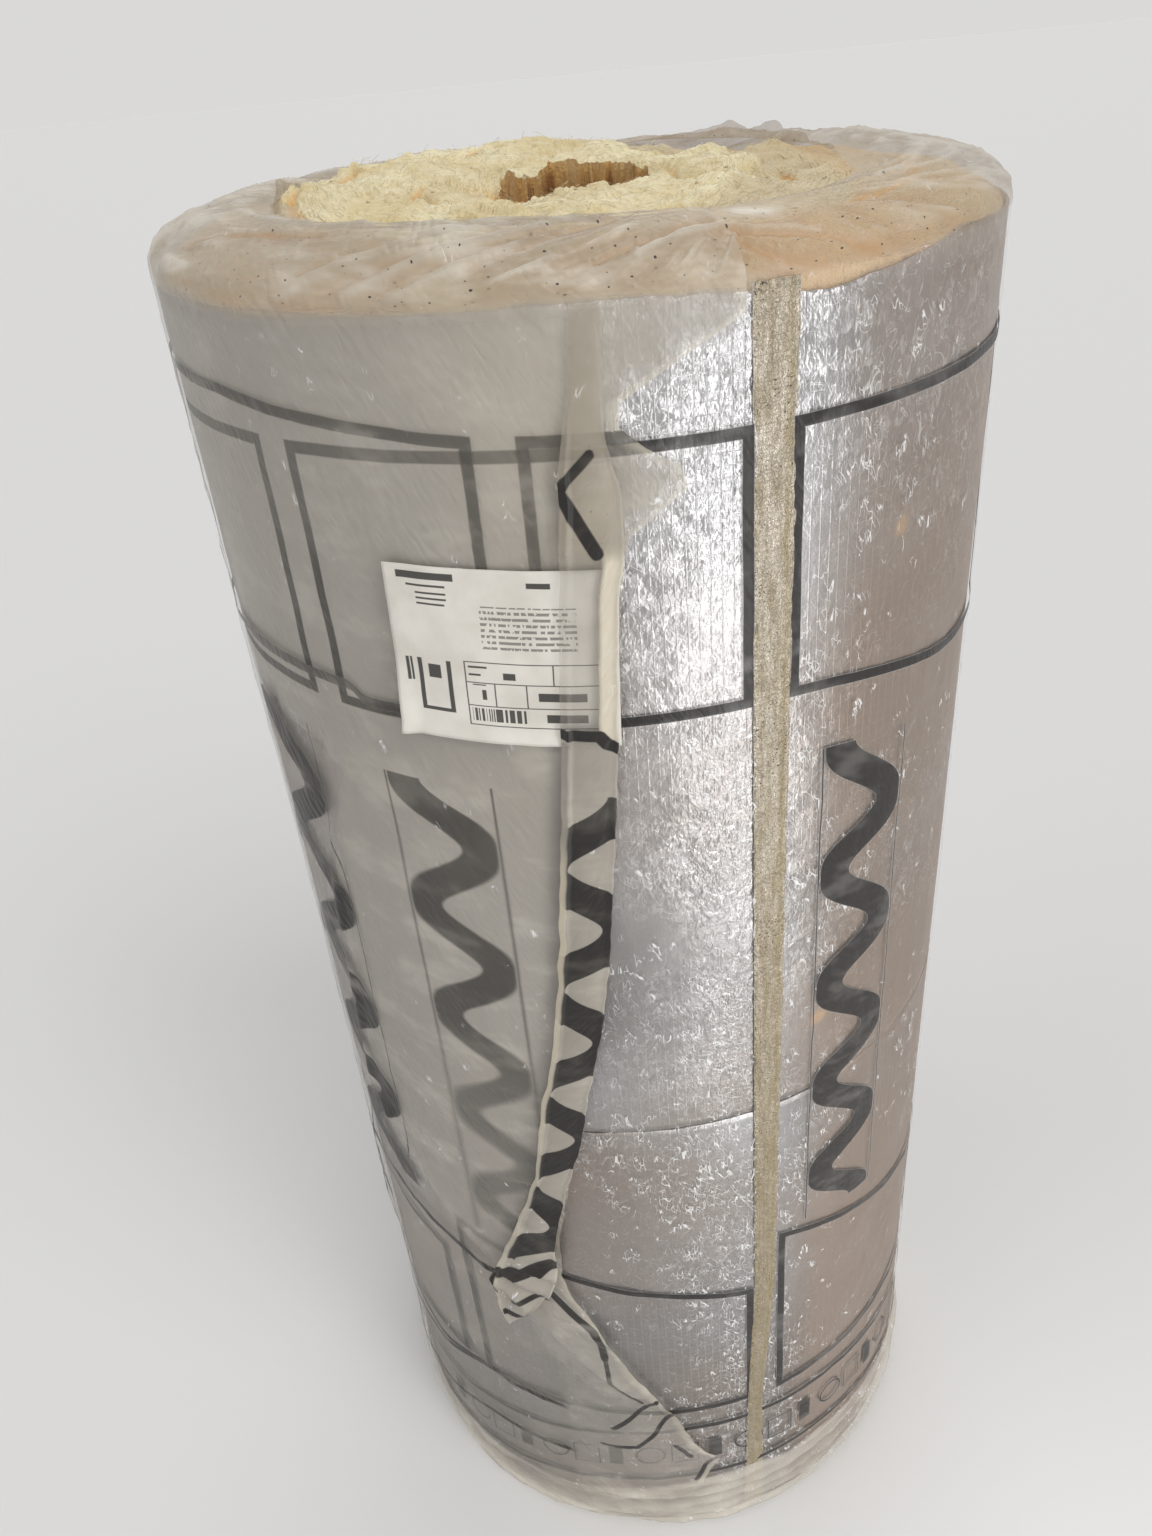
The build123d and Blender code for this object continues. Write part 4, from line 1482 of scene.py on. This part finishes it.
def lapPiece(material):
    low, high = lap["closeRows"]
    stops = [roll["lapFoot"], low, high, wallTop]
    wallHeights = [np.linspace(a, b, n, endpoint=False) for a, b, n in zip(stops, stops[1:], lap["wallRows"])]
    wallHeights = np.append(np.concatenate(wallHeights), wallTop)
    share = 1 - (1 - np.linspace(0, 1, lap["columns"])) ** 1.5
    line = places(wallHeights, 0, 0)
    ragged = 0.30 * latticeNoise(line, 0.012, 205)
    front = np.concatenate([lapEdge(wallHeights) + ragged, np.full(lap["shoulderRows"], roll["tear"][0][0])])
    back = roll["lapBack"] + 1.5 * latticeNoise(line, 0.06, 206)
    back = np.append(back, np.full(lap["shoulderRows"], back[-1]))
    angle = back[:, None] + (front - back)[:, None] * share[None, :]
    wall = len(wallHeights)
    lift = np.clip(readTable(roll["footLine"], angle[:wall]) - roll["lapFoot"], 0, 1)
    lift = lift * ease(-35, 3, angle[:wall])
    heights = wallHeights[:, None] + lift * ease(0.15, roll["lapFoot"], wallHeights)[:, None]
    onWall = wallPoint(angle[:wall], sleeveRadius, heights)
    loose = 0.22 + 0.78 * ease(0.62, 0.2, heights)
    waves = np.clip(layeredNoise(stretched(onWall, 1.0, 0.6), 0.13, 211, 2) + 0.25, 0, None)
    waves = lap["wave"] * waves * loose
    # the long fold where the haze begins, and slanting folds below the gathered strip
    fold = near(angle[:wall], along(roll["hazeEdge"], heights), 1.3)
    fold = fold * ease(0.40, 0.46, heights) * ease(0.96, 0.90, heights)
    slanting = onWall[..., 2] * 0.75 + np.radians(angle[:wall]) * sleeveRadius
    slant = ridges(places(slanting, 0, 0.3 * onWall[..., 2]), 0.055, 213, 1.5)
    below = (
        ease(0.46, 0.38, heights) * ease(0.05, 0.12, heights) * ease(30, 8, front[:wall, None] - angle[:wall])
    )
    flare = lap["footFlare"] * ease(0.12, 0.03, heights)
    fine = ridges(stretched(onWall, 0.7, 1.3), 0.045, 215, 1.6)
    fine = fine + 0.6 * ridges(stretched(onWall, 0.8, 1.0), 0.022, 216, 1.4)
    fine = (
        lap["crease"] * fine
        * ease(-0.3, 0.3, layeredNoise(onWall, 0.16, 217, 2) + 0.6 * ease(0.9, 1.0, heights))
    )
    proud = lap["proud"] + waves + fine + lap["hazeFold"] * fold
    proud = proud + lap["slantFold"] * slant * below + flare * 0.3
    onWall = wallPoint(angle[:wall], sleeveRadius + proud, heights)

    parts = np.linspace(0, 1, lap["shoulderRows"] + 1)[1:, None] * np.ones(lap["columns"])[None, :]
    angleOver = angle[wall:]
    radiusHere, heightHere, tones = overEnd(angleOver, parts, lap["overEndShare"], lap["proudOverEnd"])
    points = np.concatenate([onWall, wallPoint(angleOver, radiusHere, heightHere)], axis=0)
    run = np.concatenate([heights, wallTop + roll["overEndRun"] * parts])
    rise = readTable(lap["printRise"], angle) * (0.3 + 0.7 * ease(0.98, 1.13, run)) * ease(0.35, 0.95, run)
    rise += 0.008 * ease(-35, -38, angle) * ease(0.90, 0.95, run) * ease(1.06, 1.0, run)
    unrolled = places(angle / 360 + 0.5, (run - rise + film["footRun"]) / film["unrolledLength"])

    height = points[..., 2]
    over = ease(wallTop - 0.008, wallTop + 0.008, height)
    haze = hazeShare(angle, height)
    cloud = layeredNoise(points, 0.10, 221, 3)
    white, brown, opening = (np.vstack([0 * angle[:wall], tone]) for tone in tones)
    veil = 0.22 * (1 - haze) + along(lap["hides"], height) * haze + 0.06 * cloud
    overVeil = 0.44 + 0.28 * white + 0.35 * brown + 0.10 * cloud
    veil = (veil * (1 - over) + over * overVeil) * (1 - 0.9 * opening)
    atEdge = ease(2.2, 0.4, front[:, None] - angle) * (1 - over)
    beigeBand = near(angle, -8, 9) * ease(0.98, 1.08, height) * (1 - over)
    # the tongue below the gathered strip carries only its own folded lines
    tongue = ease(-23, -20, angle) * ease(0.435, 0.42, height)
    upperWhite = (0.30 + 0.16 * np.clip(cloud, -0.5, 1)) * ease(0.98, 1.10, height)
    glinting = 0.05 + 0.25 * layeredNoise(points, 0.12, 222, 2) + 0.3 * ease(0.10, 0.04, height)
    fields = {
        "milky": over,
        "creamy": np.clip(0.35 * atEdge + 0.2 * np.clip(cloud, 0, 1) * (1 - over) + 0.8 * beigeBand, 0, 1),
        "hazed": 0 * angle,
        # over the end the fold crests get a painted highlight and the hollows and the gap a painted shade;
        # the white scrap, the whiter top of the lap and the warm wool under the film are their own tints
        "highlightAndWhite": over * (white + 0.14) + upperWhite * (1 - over),
        "shadeAndWarmBrown": over * brown,
        "veil": np.clip(veil + 0.25 * atEdge + 0.15 * tongue, 0, 0.95),
        "kept": ease(0.03, 0.07, height) * (1 - tongue) * (1 - 0.15 * ease(0.9, 1.0, height)),
        "veiled": 0.10 + 0 * height,
        "glinting": np.clip(glinting, 0, 1) * (1 - over),
        "marked": markDepth(lap["marks"], angle, height),
    }
    mesh = gridMesh("filmLap", points, unrolled=unrolled, fields=fields)
    piece = addPiece(mesh, material, "hazy_film", "film_lap")
    piece.visible_shadow = False
    return piece


# The folded strip along the lap's torn edge, down to where it is gathered

strip = {
    # height, left angle, right angle
    "run": [
        (1.213, -4.1, -0.5), (1.168, -4.9, -1.1), (1.146, -5.8, -1.2), (1.116, -6.5, 0.2),
        (1.080, -7.0, -0.1), (1.059, -7.4, -0.9), (0.996, -8.5, -1.7), (0.960, -8.9, -2.2),
        (0.886, -10.3, -3.5), (0.785, -12.4, -5.6), (0.730, -14.0, -7.3), (0.690, -15.3, -9.0),
        (0.645, -17.6, -10.8), (0.608, -18.8, -12.2), (0.559, -20.4, -14.8), (0.507, -24.4, -17.1),
        (0.470, -27.4, -18.2), (0.441, -29.8, -18.4), (0.420, -31.6, -18.8), (0.398, -32.0, -20.4),
        (0.380, -31.2, -22.6), (0.364, -29.0, -25.0),
    ],
    "rows": 300,
    "columns": 27,
    "proud": 0.0078,
    "flatProud": 0.0050,  # the same above the mark
    "crown": 0.0018,
    "wave": 0.0022,
    "fold": 0.0075,  # where it is gathered
    "slope": 0.012,  # how far its sides shift up and down there
    "rolledEdges": (0.0026, 0.0022),
    "thickness": 0.0005,
    "printAngle": -26.8,  # where on the sleeve's print it is cut from
    "creamWidth": 0.13,  # the folded edge's share of its width
    # the folded lines of print near its top and in its gathered end: half the width, angles and heights
    "marks": [
        (0.0028, [(-2.9, 1.140), (-6.0, 1.125)]),
        (0.0038, [(-6.2, 1.120), (-2.9, 1.086)]),
        (0.0040, [(-8.3, 0.974), (-4.2, 0.972), (-3.4, 0.966), (-2.2, 0.963)]),
        (0.0075, [(-30.8, 0.418), (-25.0, 0.432), (-19.0, 0.458)]),
        (0.0034, [(-31.4, 0.414), (-31.5, 0.384)]),
        (0.0026, [(-27.7, 0.385), (-21.7, 0.405)]),
        (0.0024, [(-29.3, 0.369), (-26.0, 0.372)]),
    ],
}


def markDepth(marks, angle, height):
    # how deep each point lies inside the widest of the lines, in metres
    perDegree = film["metresPerDegree"]
    depths = [
        halfWidth - lineDistance(angle * perDegree, height, [(a * perDegree, z) for a, z in line])
        for halfWidth, line in marks
    ]
    return np.max(depths, axis=0)


def stripPiece(material):
    table = np.array(strip["run"])[::-1]
    heights = np.linspace(table[0, 0], table[-1, 0], strip["rows"])
    left, right = np.interp(heights, table[:, 0], table[:, 1]), np.interp(heights, table[:, 0], table[:, 2])
    line = places(heights, 0, 0)
    left = left + 0.25 * latticeNoise(line, 0.020, 231)
    right = right + 0.20 * latticeNoise(line, 0.016, 232)
    share = np.linspace(0, 1, strip["columns"])
    angle = left[:, None] + (right - left)[:, None] * share[None, :]
    gathered = ease(0.60, 0.43, heights)[:, None]
    level = heights[:, None] + strip["slope"] * gathered * (share[None, :] - 0.5) * 2
    place = wallPoint(angle, sleeveRadius, level)
    crown = strip["crown"] * np.sin(share * math.pi)[None, :]
    waves = strip["wave"] * np.clip(layeredNoise(stretched(place, 1.0, 0.6), 0.07, 233, 2), -0.6, 1)
    folds = strip["fold"] * gathered * (ridges(stretched(place, 0.7, 1.5), 0.045, 234, 1.0) + 0.2)
    leftRoll, rightRoll = strip["rolledEdges"]
    rolled = leftRoll * near(share[None, :], strip["creamWidth"], 0.05)
    rolled = rolled + rightRoll * near(share[None, :], 1.0, 0.06)
    proud = strip["proud"] + crown + waves + folds + rolled
    # above the mark it lies flat on the lap, as a soft beige band
    top = ease(1.175, 1.125, heights)[:, None]
    proud = strip["flatProud"] + (proud - strip["flatProud"]) * top
    outer = wallPoint(angle, sleeveRadius + proud, level)
    inner = wallPoint(angle, sleeveRadius + proud - strip["thickness"], level)
    halfDegrees = (right - left)[:, None] / 2
    printed = strip["printAngle"] - (share[None, :] - 0.5) * 2 * halfDegrees
    unrolled = places(printed / 360 + 0.5, (level + film["footRun"]) / film["unrolledLength"])
    cream = ease(strip["creamWidth"] + 0.03, strip["creamWidth"] - 0.03, share)[None, :]
    onLabel = (ease(1.092, 1.075, heights) * ease(0.962, 0.974, heights))[:, None]
    rightEdge = ease(0.65, 0.71, share)[None, :] * onLabel
    upper = ease(1.07, 1.10, heights)[:, None]
    solid = 0.62 + 0.12 * layeredNoise(place, 0.04, 235, 2) - 0.16 * upper + 0.15 * gathered
    # over the label only its rolled right edge is thick, the rest is clear
    solid = solid * (1 - 0.75 * onLabel * ease(0.74, 0.66, share)[None, :])
    creamHere = ease(0.92, 0.86, heights) * (0.55 + 0.45 * ease(0.55, 0.65, heights))
    edgeShare = np.maximum(cream * creamHere[:, None], rightEdge)
    faded = top + (1 - top) * 0.75 * np.sin(share * math.pi)[None, :] ** 0.7
    kept = (1 - 0.9 * cream) * (1 - 0.9 * rightEdge) * (1 - 0.85 * ease(0.945, 0.960, heights)[:, None])
    fields = {
        "milky": 0.3 * upper + 0 * angle,
        "creamy": np.clip(0.35 * upper + 0.9 * edgeShare, 0, 1),
        "veil": np.clip(solid + 0.5 * edgeShare, 0, 0.98) * faded,
        "kept": kept * ease(0.435, 0.455, level),
        "hazed": 0 * angle,
        "highlightAndWhite": 0.25 * near(share[None, :], 1.0, 0.08) + 0.30 * rightEdge + 0 * angle,
        "shadeAndWarmBrown": 0 * angle,
        "veiled": 0 * angle,
        "glinting": 0.10 + 0.3 * gathered + 0 * angle,
        "marked": markDepth(strip["marks"], angle, level),
    }
    fields = {key: np.broadcast_to(value, angle.shape) for key, value in fields.items()}
    mesh = bandMesh("foldedStrip", outer, inner, unrolled, fields)
    return addPiece(mesh, material, "hazy_film")


# Tape

tape = {
    "run": [(15.0, 0.013, 0.022), (15.3, 0.172, 0.015), (17.2, 0.315, 0.020), (17.6, 1.0, 0.027)],
    "rows": 300,
    "columns": 14,
    "mapWidth": 0.022,  # metres across the tape that its finish is laid out for
    "proud": 0.0012,
    "waver": 0.0003,
    "ridge": 0.0004,
    "pressedEdges": 0.0010,
    "thickness": 0.0004,
}


def tapePiece(material):
    angles, shares, widths = np.array(tape["run"]).T
    heights = np.linspace(shares[0] * wallTop, wallTop + 0.001, tape["rows"])
    middle = np.interp(heights, shares * wallTop, angles)
    width = np.interp(heights, shares * wallTop, widths)
    edgeNoise = latticeNoise(places(heights, 0, 0), 0.02, 301)
    across = np.linspace(-0.5, 0.5, tape["columns"])
    offset = across[None, :] * (width * (1 + 0.05 * edgeNoise))[:, None]
    angle = middle[:, None] + np.degrees(offset / sleeveRadius)
    level = np.broadcast_to(heights[:, None], angle.shape)
    outer = wallPoint(angle, sleeveRadius, level)
    proud = tape["proud"] + tape["waver"] * layeredNoise(outer, 0.009, 302, 2)
    proud = proud + tape["ridge"] * ridges(stretched(outer, 1.0, 2.0), 0.02, 303, 2)
    proud = proud - tape["pressedEdges"] * np.abs(2 * across[None, :]) ** 6
    outer = wallPoint(angle, sleeveRadius + proud, level)
    inner = wallPoint(angle, sleeveRadius + proud - tape["thickness"], level)
    share = (heights - heights[0]) / (heights[-1] - heights[0])
    unrolled = places(across[None, :] + 0.5, share[:, None])
    return addPiece(bandMesh("closingTape", outer, inner, unrolled), material, "aged_tape", "closing_tape")


# Label

label = {
    "width": 0.134,
    "height": 0.112,
    "rightAngle": -1.3,
    "middle": 0.843,
    "tilt": -2.0,
    "columns": 60,
    "rows": 50,
    "proud": 0.0030,  # how far it stands off the lap
    "curl": 0.005,  # how far its left edge lifts
    "footCurl": 0.002,
    "waver": 0.0006,
    "thickness": 0.0003,
}


def labelPiece(material):
    across = np.linspace(0, 1, label["columns"])[None, :]
    up = np.linspace(0, 1, label["rows"])[:, None]
    x, y = (across - 0.5) * label["width"], (up - 0.5) * label["height"]
    tilt = math.radians(label["tilt"])
    turnedX = x * math.cos(tilt) - y * math.sin(tilt)
    turnedY = x * math.sin(tilt) + y * math.cos(tilt)
    angle = label["rightAngle"] + np.degrees((turnedX - label["width"] / 2) / sleeveRadius)
    height = label["middle"] * wallTop + turnedY
    surface = wallPoint(angle, sleeveRadius, height)
    curl = label["curl"] * ease(0.10, 0.0, across) * (0.3 + 0.7 * ease(0.5, 0.0, up))
    curl = curl + label["footCurl"] * ease(0.08, 0.0, up)
    proud = lap["proud"] + label["proud"] + curl + label["waver"] * layeredNoise(surface, 0.03, 401, 2)
    outer = wallPoint(angle, sleeveRadius + proud, height)
    inner = wallPoint(angle, sleeveRadius + proud - label["thickness"], height)
    unrolled = places(across, up)
    return addPiece(bandMesh("paperLabel", outer, inner, unrolled), material, "label_paper", "label")


# Build

woolFinish = woolMaterial("mineralWool")
foilFinish = foilMaterial("foilFacing")
upperWool = upperWoolPiece(woolFinish)
lowerWoolPiece(woolFinish)
strands = scatterTree()
fibreFinish = plainMaterial("woolFibre", (0.80, 0.72, 0.48), 0.8)
scatterPiece("looseFibres", strands, upperWool, fibreFinish, "mineral_wool")
scatterPiece("woolCrumbs", strands, upperWool, fibreFinish, "mineral_wool")
print("wool done")
foilPiece("upperFoil", "upper_foil_facing", foilFinish, 500)
foilPiece("lowerFoil", "lower_foil_facing", foilFinish, 540)
print("foil done")
sleevePiece(filmMaterial("clearFilm", (0.80, 0.79, 0.78), "sleeve"))
hazyLap = lapPiece(filmMaterial("hazyFilm", (0.43, 0.398, 0.350), "lap", marked=True, wrinkled=2.4))
foldedStrip = stripPiece(filmMaterial("foldedFilm", (0.42, 0.385, 0.330), "sleeve", marked=True))
tapePiece(tapeMaterial())
labelPiece(paperMaterial())
print("film, tape and label done")


# Camera, lights and floor

camera = {
    "place": (-0.0371, -0.8766, 1.3267),
    "down": 32.637,  # degrees below level, looking along +Y
    "roll": -5.615,
    "lens": 27.2,
}
sunLights = {
    # name: degrees round from the front, degrees above level, strength, width in degrees
    "keySun": (38.0, 46.0, 1.05, 38.0),
    "fillSun": (-72.0, 38.0, 0.50, 50.0),
    "backSun": (165.0, 48.0, 0.55, 45.0),
}
bandLight = {"angle": 28.5, "away": 1.15, "middle": 0.62, "size": (0.30, 1.15), "watts": 4.0}
sunAway = 4.0  # metres; a sun lights the same from any distance
ground = {
    "reach": 40.0,
    "colour": (0.70, 0.695, 0.685),
    "worldColour": (0.52, 0.52, 0.525),
    "seen": (0.70, 0.695, 0.685),  # the world where it is seen directly
}


def addCamera():
    down, turn = math.radians(camera["down"]), math.radians(camera["roll"])
    forward = Vector((0, math.cos(down), -math.sin(down)))
    right = Vector((1, 0, 0))
    up = right.cross(forward)
    across = right * math.cos(turn) + up * math.sin(turn)
    above = up * math.cos(turn) - right * math.sin(turn)
    seen = bpy.data.cameras.new("photoCamera")
    seen.lens = camera["lens"]
    holder = bpy.data.objects.new("photoCamera", seen)
    holder.matrix_world = Matrix((
        (across.x, above.x, -forward.x, camera["place"][0]),
        (across.y, above.y, -forward.y, camera["place"][1]),
        (across.z, above.z, -forward.z, camera["place"][2]),
        (0, 0, 0, 1),
    ))
    bpy.context.scene.collection.objects.link(holder)
    bpy.context.scene.camera = holder


def addLight(name, kind, place, watts):
    lamp = bpy.data.lights.new(name, kind)
    lamp.energy = watts
    holder = bpy.data.objects.new(name, lamp)
    holder.location = place
    aim = Vector((0, 0, bandLight["middle"])) - Vector(place)
    holder.rotation_euler = aim.to_track_quat("-Z", "Y").to_euler()
    holder.visible_camera = False
    bpy.context.scene.collection.objects.link(holder)
    return lamp


def addLights():
    for name, (turn, above, strength, width) in sunLights.items():
        level, rise = sunAway * math.cos(math.radians(above)), sunAway * math.sin(math.radians(above))
        place = wallPoint(turn, level, bandLight["middle"] + rise)
        addLight(name, "SUN", place, strength).angle = math.radians(width)
    place = wallPoint(bandLight["angle"], bandLight["away"], bandLight["middle"])
    lamp = addLight("bandLight", "AREA", place, bandLight["watts"])
    lamp.shape = "RECTANGLE"
    lamp.size, lamp.size_y = bandLight["size"]


def addFloorAndWorld():
    reach = ground["reach"]
    mesh = bpy.data.meshes.new("floor")
    corners = [(-reach, -reach, 0), (reach, -reach, 0), (reach, reach, 0), (-reach, reach, 0)]
    mesh.from_pydata(corners, [], [(0, 1, 2, 3)])
    material, shader, make = newMaterial("paleFloor", {"Roughness": 0.8, "Specular IOR Level": 0.2})
    shader.inputs["Base Color"].default_value = (*ground["colour"], 1.0)
    mesh.materials.append(material)
    floor = bpy.data.objects.new("floor", mesh)
    bpy.context.scene.collection.objects.link(floor)
    world = bpy.data.worlds.new("studio")
    bpy.context.scene.world = world
    world.use_nodes = True
    make = NodeWriter(world.node_tree)
    background = world.node_tree.nodes["Background"]
    rays = make.add("ShaderNodeLightPath").outputs
    straight = make.most(rays["Is Camera Ray"], rays["Is Glossy Ray"], rays["Is Transmission Ray"])
    colour = make.mix(straight, ground["worldColour"], ground["seen"])
    make.feed(background.inputs["Color"], colour)


addCamera()
addLights()
addFloorAndWorld()
bpy.context.scene.view_settings.view_transform = "Standard"
print("camera, lights and floor done")
